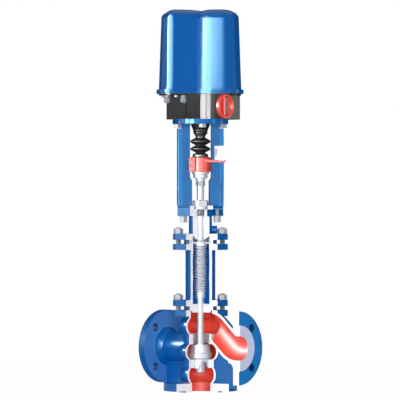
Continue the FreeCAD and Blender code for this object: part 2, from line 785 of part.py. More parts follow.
def make_bellows():
    bore = "stem_diameter / 2 + slide_fit"
    keep(ring("end_ring", "stem_diameter + 2 * slide_fit", "end_ring_diameter", "end_ring_height", END_RING_BASE),
         "bellows_end_ring")
    pitch = f"(({BELLOWS_TOP} - {BELLOWS_BASE}) / bellows_count)"
    points = [(f"{bore} + 1", BELLOWS_TOP), (f"{bore} + 1", BELLOWS_BASE), ("bellows_root / 2", BELLOWS_BASE)]
    for n in range(int(value("bellows_count"))):
        points.append(("bellows_diameter / 2", f"{BELLOWS_BASE} + {pitch} * ({n} + 0.5)"))
        points.append(("bellows_root / 2", f"{BELLOWS_BASE} + {pitch} * ({n} + 1)"))
    keep(turned("bellows_wave", points), "bellows")
    hub = turned("ring_hub", [
        (f"{bore} + 0.4", BELLOWS_TOP), ("bellows_diameter / 2", BELLOWS_TOP),
        ("bellows_diameter / 2", BONNET_GASKET_BASE), (f"{bore} + 3", f"{BONNET_GASKET_BASE} + 4"),
        (f"{bore} + 0.4", f"{BONNET_GASKET_BASE} + 4"),
    ])
    disc = section("ring_disc", ring("ring_plate", "bellows_diameter - 1", "top_ring_diameter", "top_ring_thick",
                                     TOP_RING_BASE))
    keep(fused("top_ring", hub, disc), "bellows_top_ring")


def make_gaskets():
    for name, label, z in (("low_gasket", "body_gasket", GASKET_BASE),
                           ("high_gasket", "bonnet_gasket", BONNET_GASKET_BASE)):
        keep(section(name, ring(name + "_ring", "neck_bore", "spigot_diameter - 1", "gasket_thick", z)), label)


def make_bonnet():
    bore = "(stem_diameter / 2 + 1)"
    recess = "(top_ring_diameter / 2 - 3)"
    nose = "(top_ring_diameter / 2 - 0.5)"
    outside = turned("bonnet_outside", [
        ("0", BONNET_GASKET_BASE), (nose, BONNET_GASKET_BASE), (nose, BONNET_SPIGOT),
        ("spigot_diameter / 2", BONNET_SPIGOT), ("spigot_diameter / 2", f"{BONNET_BASE} + 1"),
        ("bonnet_neck / 2", f"{BONNET_BASE} + 1"), ("bonnet_neck / 2", BONNET_TOP), ("0", BONNET_TOP),
    ])
    inside = turned("bonnet_inside", [
        ("0", f"{BONNET_GASKET_BASE} - 1"), (recess, f"{BONNET_GASKET_BASE} - 1"), (recess, f"{BONNET_BASE} + 10"),
        (f"{bore} + 2", BONNET_BASE), (bore, BONNET_BASE), (bore, BOX_BASE), ("box_bore / 2", BOX_BASE),
        ("box_bore / 2", f"{BONNET_TOP} + 1"), ("0", f"{BONNET_TOP} + 1"),
    ])
    low = square_plate("bonnet_flange", "square_side", "square_corner", "square_thick", BONNET_BASE)
    high = yoke_plate("bonnet_head", TOP_FLANGE_BASE, "top_flange_thick")
    boss = cross_cylinder("boss", "boss_diameter", "boss_reach", "0", "0",
                          f"{BONNET_BASE} + square_thick + boss_diameter / 2 - 1")
    boss.Placement = Placement(Vector(), Rotation(Vector(0, 0, 1), 45) * QUARTER)
    bind(boss, Placement__Base__z=f"{BONNET_BASE} + square_thick + boss_diameter / 2 - 1")
    row = "(foot_bolt_pitch / 2 * cos(yoke_turn))"
    bolts = [cylinder(f"head_hole_{n}", "foot_bolt_diameter + bolt_clearance", "2 * top_flange_thick",
                      f"{side}{row}", f"{side}{row}", f"{TOP_FLANGE_BASE} - 5") for n, side in enumerate(("", "-"))]
    # A break-out in front of the right bolt shows its thread
    window = block("thread_window", "top_flange_side / 2", row, "top_flange_thick + 1", f"{row} + 11",
                   f"{row} / 2", f"{TOP_FLANGE_BASE} - 1")
    holes = stud_holes("bonnet_hole", BONNET_SPIGOT, "2 * square_thick")
    machined = cut("bonnet_machined", fused("bonnet_cast", outside, low, high, boss),
                   fused("bonnet_tools", inside, window, *bolts, *holes))
    keep(section("bonnet_cut", machined), "bonnet")


def yoke_plate(name, z, thick):
    """The square plate that bonnet and yoke share, its corners on the axis of the columns."""
    owner = body(name)
    half = "(top_flange_side * sin(45))"
    diamond = outline(sketch_on(owner, name + "_diamond", "XY_Plane", z), [
        (half, "0"), ("0", half), (f"-{half}", "0"), ("0", f"-{half}")])
    pad(owner, name + "_pad", diamond, thick)
    return turn_to_yoke(owner)


def make_packing():
    inner = "stem_diameter + 2 * slide_fit"
    outer = "box_bore - 2 * seat_fit"
    gland_base = f"({BONNET_TOP} - gland_thread)"
    ring_height = f"(({gland_base} - washer_thick - {BOX_BASE} - bush_length) / 4)"
    keep(section("bush_cut", ring("stem_bush_ring", inner, outer, "bush_length", BOX_BASE)), "stem_bush")
    rings = [section(f"packing_cut_{n}", ring(f"packing_{n}", inner, outer, f"{ring_height} - 0.2",
                                              f"{BOX_BASE} + bush_length + {ring_height} * {n}"))
             for n in range(4)]
    keep(grouped("packing", rings), "packing_rings")
    keep(section("washer_cut", ring("washer", inner, outer, "washer_thick", f"{gland_base} - washer_thick")),
         "packing_washer")
    bore = "(stem_diameter / 2 + 0.5)"
    collar = turned("gland_turn", [
        (bore, gland_base), ("box_bore / 2 - seat_fit", gland_base), ("box_bore / 2 - seat_fit", BONNET_TOP),
        ("gland_collar_diameter / 2", BONNET_TOP), ("gland_collar_diameter / 2", f"{BONNET_TOP} + gland_collar"),
        (bore, f"{BONNET_TOP} + gland_collar"),
    ])
    head = cut("gland_head", hexagon("gland_hexagon", "gland_hex", "gland_hex_height", z=f"{BONNET_TOP} + gland_collar"),
               cylinder("gland_bore", f"2 * {bore}", "3 * gland_hex_height", z=BONNET_TOP))
    keep(fused("gland", collar, head), "gland_nut")


def make_studs():
    """Two rows of three studs, each with a hexagon nut on the upper flange."""
    for label, base, seat in (("lower", f"({BODY_TOP} - square_thick)", f"({HOUSING_FLANGE} + square_thick)"),
                              ("upper", f"({HOUSING_TOP} - square_thick)", f"({BONNET_BASE} + square_thick)")):
        studs = []
        nuts = []
        for n, (x, y) in enumerate(stud_places()):
            studs.append(cylinder(f"{label}_stud_{n}", "stud_diameter", f"{seat} + nut_thick + 2.5 - {base}",
                                  x, y, base))
            blank = hexagon(f"{label}_nut_{n}", "nut_width", "nut_thick", x, y, seat)
            hole = cylinder(f"{label}_nut_hole_{n}", "stud_diameter + 2 * seat_fit", "3 * nut_thick", x, y,
                            f"{seat} - nut_thick")
            nuts.append(cut(f"{label}_nut_cut_{n}", blank, hole))
        keep(grouped(label + "_stud_row", studs), label + "_studs")
        keep(grouped(label + "_nut_row", nuts), label + "_nuts")


def make_yoke():
    low_top = f"({FOOT_TOP} + low_column_height)"
    high_base = f"({low_top} + column_chamfer)"
    band = "(yoke_outer - column_band)"
    pieces = [yoke_plate("yoke_foot", BONNET_TOP, "foot_thick")]
    for label, sign in (("left", "-"), ("right", "")):
        column = body(label + "_column")
        web = outline(sketch_on(column, label + "_web", "XZ_Plane"), [
            (f"{sign}yoke_gap_low", f"{FOOT_TOP} - foot_thick / 2"), (f"{sign}yoke_gap_low", low_top),
            (f"{sign}yoke_gap", high_base), (f"{sign}yoke_gap", f"{HEAD_BASE} + 1"),
            (f"{sign}({band} + 1)", f"{HEAD_BASE} + 1"), (f"{sign}({band} + 1)", f"{FOOT_TOP} - foot_thick / 2"),
        ])
        pad(column, label + "_web_pad", web, "column_web", Midplane=True)
        low = outline(sketch_on(column, label + "_low", "XZ_Plane"), [
            (f"{sign}yoke_gap_low", f"{FOOT_TOP} - foot_thick / 2"), (f"{sign}yoke_gap_low", low_top),
            (f"{sign}({band} - 1)", f"{low_top} + column_chamfer"), (f"{sign}({band} + 1)", high_base),
            (f"{sign}({band} + 1)", f"{FOOT_TOP} - foot_thick / 2"),
        ])
        pad(column, label + "_low_pad", low, "column_depth - 6", Midplane=True)
        outer = outline(sketch_on(column, label + "_band", "XZ_Plane"), [
            (f"{sign}{band}", FOOT_TOP), (f"{sign}yoke_outer", FOOT_TOP),
            (f"{sign}yoke_outer", f"{HEAD_BASE} - head_notch"), (f"{sign}{band}", f"{HEAD_BASE} - head_notch"),
        ])
        pad(column, label + "_band_pad", outer, "column_depth", Midplane=True)
        pieces.append(turn_to_yoke(column))
    head = turn_to_yoke(cylinder("yoke_head", "head_diameter", "head_thick", z=HEAD_BASE))
    tools = [cylinder("yoke_head_bore", "head_bore", "2 * head_thick", z=f"{HEAD_BASE} - 5"),
             cylinder("yoke_foot_bore", "gland_collar_diameter + 9", "2 * foot_thick", z=f"{BONNET_TOP} - 4")]
    for n, (x, y) in enumerate(yoke_points("head_screw_circle / 2")):
        tools.append(cylinder(f"head_hole_low_{n}", "head_screw + bolt_clearance", "2 * head_thick", x, y,
                              f"{HEAD_BASE} - 5"))
    for n, (x, y) in enumerate(yoke_points("foot_bolt_pitch / 2")[::2]):
        tools.append(cylinder(f"foot_hole_{n}", "foot_bolt_diameter + bolt_clearance", "foot_bolt_depth + 2",
                              x, y, f"{BONNET_TOP} - 1"))
    inset = block("slot_inset", "slot_width", "column_band", "slot_length", f"{band} + column_band / 2",
                  "-column_depth / 2", f"{FOOT_TOP} + 5")
    tools.append(turn_to_yoke(grouped("slot_row", [inset])))
    cast = fused("yoke_cast", *pieces, head)
    keep(section("yoke_cut", cut("yoke_machined", cast, fused("yoke_tools", *tools))), "yoke")


def yoke_points(radius):
    """Four points at a radius on the yoke's two axes, starting on the right column."""
    reach = f"(({radius}) * cos(yoke_turn))"
    return [(reach, reach), (f"-{reach}", reach), (f"-{reach}", f"-{reach}"), (reach, f"-{reach}")]


def make_bolts():
    bolts = []
    for n, (x, y) in enumerate(yoke_points("foot_bolt_pitch / 2")[::2]):
        head = hexagon(f"foot_head_{n}", "foot_bolt_width", "foot_bolt_head", x, y,
                       f"{TOP_FLANGE_BASE} - foot_bolt_head")
        shank = cylinder(f"foot_shank_{n}", "foot_bolt_diameter", "top_flange_thick + foot_bolt_depth", x, y,
                         f"{TOP_FLANGE_BASE} - 1")
        bolts.append(fused(f"foot_bolt_{n}", head, shank))
    keep(grouped("foot_bolts", bolts), "yoke_foot_bolts")
    screws = []
    for n, (x, y) in enumerate(yoke_points("head_screw_circle / 2")):
        head = hexagon(f"top_head_{n}", "head_screw_width", "head_screw_head", x, y, f"{HEAD_BASE} - head_screw_head")
        shank = cylinder(f"top_shank_{n}", "head_screw", "head_thick + head_screw_depth", x, y, f"{HEAD_BASE} - 1")
        screws.append(fused(f"top_screw_{n}", head, shank))
    keep(grouped("top_screws", screws), "yoke_top_screws")


def make_coupling():
    """Lock nut, stepped coupling and the spindle of the actuator above it."""
    hexa = hexagon("lock_hexagon", "lock_nut_width", "lock_nut_height", z=LOCK_NUT_BASE)
    hole = cylinder("lock_hole", "stem_diameter + 2 * seat_fit", "2 * lock_nut_height", z=f"{LOCK_NUT_BASE} - 3")
    nut = cut("lock_nut_cut", hexa, hole)
    keep(nut, "lock_nut")
    bore = "(stem_diameter / 2 - 2 + seat_fit)"
    keep(turned("coupling_turn", [
        (bore, COUPLING_BASE), ("coupling_neck / 2", COUPLING_BASE), ("coupling_neck / 2", COUPLING_SHOULDER),
        ("coupling_body / 2", COUPLING_SHOULDER), ("coupling_body / 2", COUPLING_RING_BASE),
        ("coupling_ring / 2", COUPLING_RING_BASE), ("coupling_ring / 2", CLAMP_BASE), (bore, CLAMP_BASE),
    ]), "stem_coupling")
    foot = "(coupling_body / 2 + 1)"
    keep(turned("spindle_turn", [
        ("0", CLAMP_BASE), (foot, CLAMP_BASE), (foot, f"{CLAMP_BASE} + 7"),
        ("spindle_diameter / 2", f"{CLAMP_BASE} + 7"), ("spindle_diameter / 2", f"{SPINDLE_TOP} - 1"),
        ("spindle_diameter / 2 - 1", SPINDLE_TOP), ("0", SPINDLE_TOP),
    ]), "actuator_spindle")
    clamp = turned("clamp_turn", [
        (f"{foot} + seat_fit", CLAMP_BASE), ("clamp_diameter / 2", CLAMP_BASE),
        ("clamp_diameter / 2", f"{CLAMP_TOP} - 2"), ("clamp_diameter / 2 - 2", CLAMP_TOP),
        ("spindle_diameter / 2 + seat_fit", CLAMP_TOP), ("spindle_diameter / 2 + seat_fit", f"{CLAMP_TOP} - 4"),
        (f"{foot} + seat_fit", f"{CLAMP_TOP} - 8"),
    ])
    ear_depth = "(clamp_diameter / 2 - clamp_ear_back)"
    ear_y = "(-(clamp_diameter / 2 + clamp_ear_back) / 2)"
    ear = block("clamp_ear_block", "clamp_ear - 14", ear_depth, "clamp_height - 1", "-(clamp_ear + 14) / 2", ear_y,
                CLAMP_BASE)
    arm = block("pointer_arm", "pointer_reach - 5", "pointer_width", "pointer_thick",
                "(pointer_reach + 5) / 2", "-(pointer_front - pointer_width / 2)", POINTER_BASE)
    tools = []
    screws = []
    for n, rise in enumerate(("clamp_screw_low", "clamp_screw_high")):
        z = f"({CLAMP_BASE} + {rise})"
        for kind, store, width, length in (("hole", tools, "clamp_screw + 2 * seat_fit", ear_depth),
                                           ("shank", screws, "clamp_screw", ear_depth)):
            rod = cylinder(f"clamp_{kind}_{n}", width, length)
            rod.Placement = Placement(Vector(), Rotation(Vector(1, 0, 0), 90))
            store.append(place(rod, "-(clamp_ear - 5)", "-clamp_ear_back", z))
        cap = cylinder(f"clamp_cap_{n}", "clamp_screw + 3", "clamp_screw_head")
        cap.Placement = Placement(Vector(), Rotation(Vector(1, 0, 0), 90))
        place(cap, "-(clamp_ear - 5)", "-clamp_diameter / 2", z)
        screws[-1] = fused(f"clamp_screw_{n}", screws[-1], cap)
    whole = cut("clamp_cut", fused("clamp_cast", clamp, ear, arm), fused("clamp_tools", *tools))
    keep(turn_to_yoke(whole), "coupling_clamp")
    keep(turn_to_yoke(grouped("clamp_screw_row", screws)), "clamp_screws")


def make_scale():
    """Stroke scale on the right column: a face plate in front of the pointer, a strip behind and a bridge above."""
    left = "(yoke_outer - column_band - 2)"
    front = "(pointer_front + scale_gap)"
    back = "(column_depth / 2)"
    z = f"({POINTER_BASE} + 4)"
    width = "(yoke_outer - 0.5)"
    face = block("scale_face", f"{width} - {left}", "scale_thick", "scale_height", f"({width} + {left}) / 2",
                 f"-({front} + scale_thick / 2)", z)
    strip = block("scale_strip", "scale_width", "pointer_front - pointer_width - scale_gap - column_depth / 2",
                  "scale_height", f"{width} - scale_width / 2",
                  f"-({back} + pointer_front - pointer_width - scale_gap) / 2", z)
    bridge = block("scale_bridge", f"{width} - {left}", f"{front} - {back}", "4", f"({width} + {left}) / 2",
                   f"-({front} + {back}) / 2", f"{z} + scale_height - 4")
    keep(turn_to_yoke(fused("scale_whole", face, strip, bridge)), "stroke_scale")


def make_boot():
    """Folded rubber boot between the clamp and a flared collar under the actuator."""
    bore = "(spindle_diameter / 2 + 1.5)"
    fold = f"(({COLLAR_BASE} - {CLAMP_TOP} - boot_cuff_height) / 2)"
    start = f"({CLAMP_TOP} + boot_cuff_height)"
    points = [(bore, CLAMP_TOP), ("boot_cuff / 2", CLAMP_TOP), ("boot_cuff / 2", f"{start} - 3"),
              ("boot_neck / 2", start)]
    for n in range(2):
        points.append(("boot_fold / 2", f"{start} + {fold} * ({n} + 0.46)"))
        points.append(("boot_fold / 2", f"{start} + {fold} * ({n} + 0.56)"))
        points.append(("boot_neck / 2", f"{start} + {fold} * ({n} + 1)"))
    points.append((bore, COLLAR_BASE))
    keep(turned("boot_turn", points), "rubber_boot")
    keep(turned("collar_turn", [
        (bore, COLLAR_BASE), ("boot_collar / 2 - 2", COLLAR_BASE), ("boot_collar / 2", f"{COLLAR_BASE} + 2"),
        ("boot_collar / 2", f"{COLLAR_BASE} + boot_collar_height * 0.45"), ("boot_flare / 2", HEAD_BASE),
        (bore, HEAD_BASE),
    ]), "boot_collar")


def lobe_plan(grow):
    """Corners of the left lobe in plan, grown outwards by an amount, from the back of the joint round to its front."""
    valley = f"(cover_valley + {grow})"
    front = f"(cover_front + {grow})"
    side = f"(-(cover_left + {grow}))"
    shoulder = f"(-(cover_shoulder + {grow} / 2))"
    flank = f"(cover_side + {grow} / 2)"
    return [("cover_joint", valley), (shoulder, front), (side, flank),
            (side, f"(-{flank})"), (shoulder, f"(-{front})"), ("cover_joint", f"(-{valley})")]


def crown_profile(reach, base, height, grow, side):
    """A leaning wall and the two arcs that lead over to the flat top; side is +1, or -1 for a mirrored outline."""
    width = f"(crown_width + {grow})"
    rise = f"(crown_height + {grow})"
    edge = f"(crown_edge + {grow})"
    dome = f"((({width} - {edge}) ^ 2 + {rise} ^ 2 - {edge} ^ 2) / (2 * ({rise} - {edge})))"
    top = f"({base} + {height})"
    start = f"({reach} - ({height} - {rise}) * tan(cover_taper))"
    flat = f"({start} - {width})"
    share = f"({dome} / ({dome} - {edge}))"
    joint = f"({flat} + ({width} - {edge}) * {share})"
    joint_height = f"({top} - {dome} + ({dome} - {rise}) * {share})"
    return [(f"{side} * {reach}", base), (f"{side} * {start}", f"{top} - {rise}", edge, -side),
            (f"{side} * {joint}", joint_height, dome, -side), (f"{side} * {flat}", top)]


def crowned_wall(name, start, end, base, height, grow):
    """All the room behind one wall of the left lobe and under its crown."""
    run = [f"({b} - {a})" for a, b in zip(start, end)]
    reach = f"(({start[0]} * {run[1]} - {start[1]} * {run[0]}) / hypot({run[0]}; {run[1]}))"
    owner = body(name)
    drawing = outline(sketch_on(owner, name + "_profile", "YZ_Plane"), [
        *crown_profile(reach, base, height, grow, -1), ("cover_left", f"({base} + {height})"), ("cover_left", base)])
    pad(owner, name + "_pad", drawing, "4 * cover_left", Midplane=True)
    owner.Placement = Placement(Vector(), Rotation(Vector(0, 0, 1), 45))
    return bind(owner, Placement__Rotation__Angle=f"atan2({run[1]}; {run[0]})")


def lobe_pair(name, grow, base, height, crowned=False):
    """Two lobes side by side, a straight-walled left one and a round right one, grown outwards by an amount."""
    radius = f"(cover_lobe / 2 + {grow})"
    if crowned:
        right = turned(name + "_right", [("0", base), *crown_profile(radius, base, height, grow, 1),
                                         ("0", f"({base} + {height})")])
        place(right, "cover_offset")
    else:
        right = cylinder(name + "_right", f"2 * {radius}", height, "cover_offset", "0", base)
    left = body(name + "_left")
    corners = lobe_plan(grow)
    prism = pad(left, name + "_pad", outline(sketch_on(left, name + "_plan", "XY_Plane", base), corners), height)
    if crowned:
        bind(prism, TaperAngle="-cover_taper")
    doc.recompute()
    upright = []
    for number, line in enumerate(left.Shape.Edges, start=1):
        low, high = sorted(v.Point.z for v in line.Vertexes)
        if high - low > 1 and line.BoundBox.XMax < 0:
            upright.append(f"Edge{number}")
    corner = left.newObject("PartDesign::Fillet", name + "_corners")
    corner.Base = (prism, upright)
    bind(corner, Radius=f"cover_corner + ({grow})")
    if not crowned:
        return [left, right]
    crown = doc.addObject("Part::MultiCommon", name + "_crowned")
    crown.Shapes = [left] + [crowned_wall(f"{name}_wall_{n}", start, end, base, height, grow)
                             for n, (start, end) in enumerate(zip(corners, corners[1:]))]
    return [crown, right]


def cover_screw_places():
    """Centres of the three screws that hold the cover, in the frame of the yoke."""
    return (("-cover_screw_x", "cover_screw_y"), ("-cover_screw_x", "-cover_screw_y"), ("-cover_screw_end", "0"))


def make_cover():
    skin_base = f"({COVER_BASE} + lip_height)"
    lip = lobe_pair("lip", "lip_width", COVER_BASE, "lip_height")
    skin = lobe_pair("skin", "0", f"({skin_base} - 1)", "(cover_height - lip_height + 1)", True)
    hollow = lobe_pair("hollow", "(-cover_wall)", f"({COVER_BASE} - 1)", "(cover_height - cover_wall + 1)", True)
    shell = cut("cover_shell", fused("cover_outside", *lip, *skin), fused("cover_inside", *hollow))
    bosses = []
    taps = []
    screws = []
    for n, (x, y) in enumerate(cover_screw_places()):
        bosses.append(cylinder(f"cover_boss_{n}", "2 * cover_screw", "cover_screw_depth + cover_wall", x, y, COVER_BASE))
        taps.append(cylinder(f"cover_tap_{n}", "cover_screw + 2 * seat_fit", "2 * cover_screw_depth + 1", x, y,
                             f"{COVER_BASE} - cover_screw_depth"))
        head = cylinder(f"cover_screw_head_{n}", "cover_screw_head", "cover_screw", x, y, f"{RIM_BASE} - cover_screw")
        shank = cylinder(f"cover_screw_shank_{n}", "cover_screw", "rim_thick + cover_screw_depth", x, y, RIM_BASE)
        screws.append(fused(f"cover_screw_{n}", head, shank))
    keep(turn_to_yoke(cut("cover_tapped", fused("cover_bossed", shell, *bosses), fused("cover_taps", *taps))),
         "actuator_cover")
    keep(turn_to_yoke(grouped("cover_screw_row", screws)), "cover_screws")
    seal = lobe_pair("seal", "(-free_gap)", RIM_TOP, "seal_thick")
    seal_hollow = lobe_pair("seal_hollow", "(-cover_wall)", f"{RIM_TOP} - 1", "seal_thick + 2")
    holes = [cylinder(f"seal_hole_{n}", "cover_screw + bolt_clearance", "rim_thick", x, y, RIM_BASE)
             for n, (x, y) in enumerate(cover_screw_places())]
    pads = [cylinder(f"seal_pad_{n}", "2 * cover_screw", "seal_thick", x, y, RIM_TOP)
            for n, (x, y) in enumerate(cover_screw_places())]
    band = cut("seal_band", fused("seal_outside", *seal), fused("seal_inside", *seal_hollow))
    keep(turn_to_yoke(cut("seal_drilled", fused("seal_padded", band, *pads), fused("seal_holes", *holes))),
         "cover_gasket")


def case_solids(name, wall, base, height):
    """The upright solids whose union is the gear case: a left box, a wider middle and a round right lobe."""
    return [
        cylinder(name + "_lobe", f"case_lobe - 2 * {wall}", height, "lobe_offset", "0", base),
        block(name + "_middle", f"case_middle - {wall} + lobe_offset", f"case_centre - 2 * {wall}", height,
              f"(lobe_offset - case_middle + {wall}) / 2", "0", base),
        block(name + "_left", f"case_left - {wall}", f"case_left_depth - 2 * {wall}", height,
              f"-(case_left - {wall}) / 2", "0", base),
    ]


def wheel_side(name, behind, top):
    """All the room on the handwheel's side of the case, from a distance behind the wheel's back, up to a height."""
    start = f"(wheel_face - wheel_thick - free_gap - {behind})"
    return block(name, "case_lobe", "2 * case_lobe", f"{top} - {HEAD_BASE}", f"{start} + case_lobe / 2", "0",
                 HEAD_BASE)


def make_gear_case():
    bodies = case_solids("case", "0", YOKE_TOP, f"{RIM_TOP} - {YOKE_TOP}")
    bodies.extend(lobe_pair("rim", "(-free_gap)", RIM_BASE, "rim_thick - seal_thick"))
    bodies.append(cylinder("case_spigot", "head_bore - 2 * seat_fit", "head_thick + 1", z=HEAD_BASE))
    tools = case_solids("case_hollow", "case_wall", CASE_FLOOR, f"{COVER_BASE} - {CASE_FLOOR}")
    tools.append(cylinder("bearing_pocket", "bearing_diameter + 2 * seat_fit", "bearing_height + 1", "0", "0",
                          f"{CASE_FLOOR} - bearing_height"))
    tools.append(cylinder("spindle_hole", "spindle_diameter + 2 * slide_fit", "head_thick + 3 * case_wall",
                          z=f"{HEAD_BASE} - 1"))
    for n, (x, y) in enumerate(cover_screw_places()):
        tools.append(cylinder(f"rim_hole_{n}", "cover_screw + bolt_clearance", "rim_thick + 2", x, y,
                              f"{RIM_BASE} - 1"))
    glands = []
    for label in ("far", "near"):
        x, y = f"-gland_offset_{label}", "-gland_front"
        tools.append(cylinder(f"gland_hole_{label}", "gland_thread_diameter", "rim_thick + 2", x, y,
                              f"{RIM_BASE} - 1"))
        hexa = cylinder(f"gland_hex_{label}", "gland_diameter + 2", "gland_drop * 0.4", x, y,
                        f"{RIM_BASE} - gland_drop * 0.4")
        dome = cylinder(f"gland_dome_{label}", "gland_diameter", "gland_drop", x, y, f"{RIM_BASE} - gland_drop")
        neck = cylinder(f"gland_neck_{label}", "gland_thread_diameter - 2 * seat_fit", "rim_thick - seal_thick + 1", x, y,
                        f"{RIM_BASE} - 1")
        hole = cylinder(f"gland_bore_{label}", "cable_entry", "gland_drop + rim_thick + 4", x, y,
                        f"{RIM_BASE} - gland_drop - 1")
        glands.append(cut(f"gland_{label}", fused(f"gland_body_{label}", hexa, dome, neck), hole))
    keep(turn_to_yoke(grouped("gland_row", glands)), "cable_glands")
    back = "(wheel_face - wheel_thick)"
    boss = cross_cylinder("wheel_boss", "wheel_boss_diameter", f"{back} - free_gap - boss_start", "boss_start", "0",
                          WHEEL_AXIS)
    shaft_hole = cross_cylinder("wheel_hole", "wheel_shaft + 2 * slide_fit", "wheel_face", "bevel_radius", "0",
                                WHEEL_AXIS)
    taps = [cylinder(f"case_tap_{n}", "head_screw + bolt_clearance", "head_screw_depth + 2", x, y, f"{YOKE_TOP} - 1")
            for n, (x, y) in enumerate(yoke_points("head_screw_circle / 2"))]
    cast = turn_to_yoke(fused("case_cast", *bodies))
    hollowed = cut("case_hollowed", fused("case_outside", cast, boss), turn_to_yoke(fused("case_inside", *tools)))
    # A flat wall across the right lobe makes room for the handwheel, whose rim also dips into the case's rim
    wall = doc.addObject("Part::MultiCommon", "wheel_wall")
    wall.Shapes = [cast, wheel_side("wheel_wall_room", "case_wall", COVER_BASE)]
    recess = wheel_side("wheel_room", "0", RIM_BASE)
    dip = cross_cylinder("wheel_dip", "wheel_diameter + 2 * free_gap", "2 * wheel_thick", f"{back} - free_gap", "0",
                         WHEEL_AXIS)
    keep(cut("gear_case", fused("case_walled", hollowed, wall), fused("case_tools", recess, dip, shaft_hole, *taps)),
         "gear_housing")


def make_handwheel():
    back = "(wheel_face - wheel_thick)"
    wheel = body("wheel")
    spin(wheel, "wheel_turn", [
        (back, "0"), (back, "wheel_diameter / 2 - 1"), (f"{back} + 1", "wheel_diameter / 2"),
        ("wheel_face - 2", "wheel_diameter / 2"), ("wheel_face", "wheel_diameter / 2 - 2"),
        ("wheel_face", "wheel_diameter / 2 - 4"), (f"{back} + 4", "wheel_diameter / 2 - 9"), (f"{back} + 4", "0"),
    ], lift=WHEEL_AXIS, axis="H_Axis")
    grip = block("grip_bar", "wheel_thick - 3", "grip_width", "wheel_diameter - 4",
                 "wheel_face - (wheel_thick - 3) / 2", "0", f"{WHEEL_AXIS} - wheel_diameter / 2 + 2")
    slot = block("grip_slot_box", "crank_thick + 1", "grip_slot", "wheel_diameter - 10",
                 "wheel_face - (crank_thick + 1) / 2 + 0.5", "0", f"{WHEEL_AXIS} - wheel_diameter / 2 + 5")
    pivot_z = f"({WHEEL_AXIS} - wheel_diameter / 2 + 10)"
    pin_hole = cylinder("pivot_hole", "crank_pin + 2 * seat_fit", "grip_width + 2")
    pin_hole.Placement = Placement(Vector(), Rotation(Vector(1, 0, 0), 90))
    place(pin_hole, "wheel_face - crank_thick / 2", "grip_width / 2 + 1", pivot_z)
    hub_hole = cross_cylinder("hub_hole", "wheel_shaft + 2 * seat_fit", "8", f"{back} - 1", "0", WHEEL_AXIS)
    solid = cut("wheel_cut", fused("wheel_cast", wheel, grip), fused("wheel_tools", slot, pin_hole, hub_hole))
    keep(solid, "handwheel")
    axle = cross_cylinder("wheel_axle", "wheel_shaft", f"{back} + 3 - bevel_radius", "bevel_radius", "0", WHEEL_AXIS)
    ratio = "pinion_teeth / bevel_teeth"
    pinion = gear("bevel_pinion", "pinion_teeth", None, [
        (f"bevel_radius * {ratio}", "0"), (f"(bevel_radius - bevel_width) * {ratio}", "bevel_width")], 0)
    pinion.Placement = Placement(Vector(value("bevel_radius"), 0, value(WHEEL_AXIS)),
                                 Rotation(Vector(0, 1, 0), -90))
    keep(fused("wheel_drive", axle, pinion), "handwheel_shaft")
    arm = block("crank_arm", "crank_thick - 1", "grip_slot - 1", "wheel_diameter - 20",
                "wheel_face - crank_thick / 2", "0", pivot_z)
    eye = cylinder("crank_eye", "crank_thick - 1", "grip_slot - 1")
    eye.Placement = Placement(Vector(), Rotation(Vector(1, 0, 0), 90))
    place(eye, "wheel_face - crank_thick / 2", "(grip_slot - 1) / 2", pivot_z)
    knob = cross_cylinder("crank_knob", "grip_slot - 1", "crank_thick - 1", "wheel_face - crank_thick + 0.5", "0",
                          f"{pivot_z} + wheel_diameter - 22")
    hole = cylinder("crank_hole", "crank_pin + 2 * slide_fit", "grip_width + 2")
    hole.Placement = Placement(Vector(), Rotation(Vector(1, 0, 0), 90))
    place(hole, "wheel_face - crank_thick / 2", "grip_width / 2 + 1", pivot_z)
    keep(cut("crank_cut", fused("crank_whole", arm, eye, knob), hole), "crank_handle")
    pin = cylinder("crank_pin_rod", "crank_pin", "grip_width - 1")
    pin.Placement = Placement(Vector(), Rotation(Vector(1, 0, 0), 90))
    keep(place(pin, "wheel_face - crank_thick / 2", "(grip_width - 1) / 2", pivot_z), "crank_pin")


def tooth_outline(teeth, pitch_radius, z, lean, phase):
    """Closed outline of a toothed wheel with straight flanks, in a plane at height z.

    lean is the angle of the pitch cone to the axis, and phase the direction of the first tooth, in radians.
    """
    module = 2 * pitch_radius / teeth
    slope = math.tan(math.radians(value("pressure_angle")))
    half = (math.pi / 4 - value("backlash") / 2 / value("tooth_module")) * module
    above = value("tooth_tip") * module
    below = value("tooth_root") * module
    root = pitch_radius - below / math.cos(lean)
    tip = pitch_radius + above / math.cos(lean)
    flank = ((root, -half - below * slope), (tip, -half + above * slope),
             (tip, half - above * slope), (root, half + below * slope))
    points = []
    for tooth in range(teeth):
        centre = 2 * math.pi * tooth / teeth + phase
        for radius, offset in flank:
            angle = centre + offset / pitch_radius
            points.append(Vector(radius * math.cos(angle), radius * math.sin(angle), z))
    return Part.makePolygon(points + [points[0]])


def gear(name, teeth, bore, ends, phase):
    """A spur or bevel wheel lofted between its two end outlines, each given as (pitch radius, height)."""
    (first, low), (last, high) = [(value(radius), value(z)) for radius, z in ends]
    lean = math.atan2(abs(first - last), abs(high - low))
    wires = [tooth_outline(int(value(teeth)), radius, z, lean, phase) for radius, z in ((first, low), (last, high))]
    solid = Part.makeLoft(wires, True, True)
    if bore:
        solid = solid.cut(Part.makeCylinder(value(bore) / 2, 3 * (high - low), Vector(0, 0, low - (high - low))))
    wheel = doc.addObject("Part::Feature", name)
    wheel.Shape = solid
    return wheel


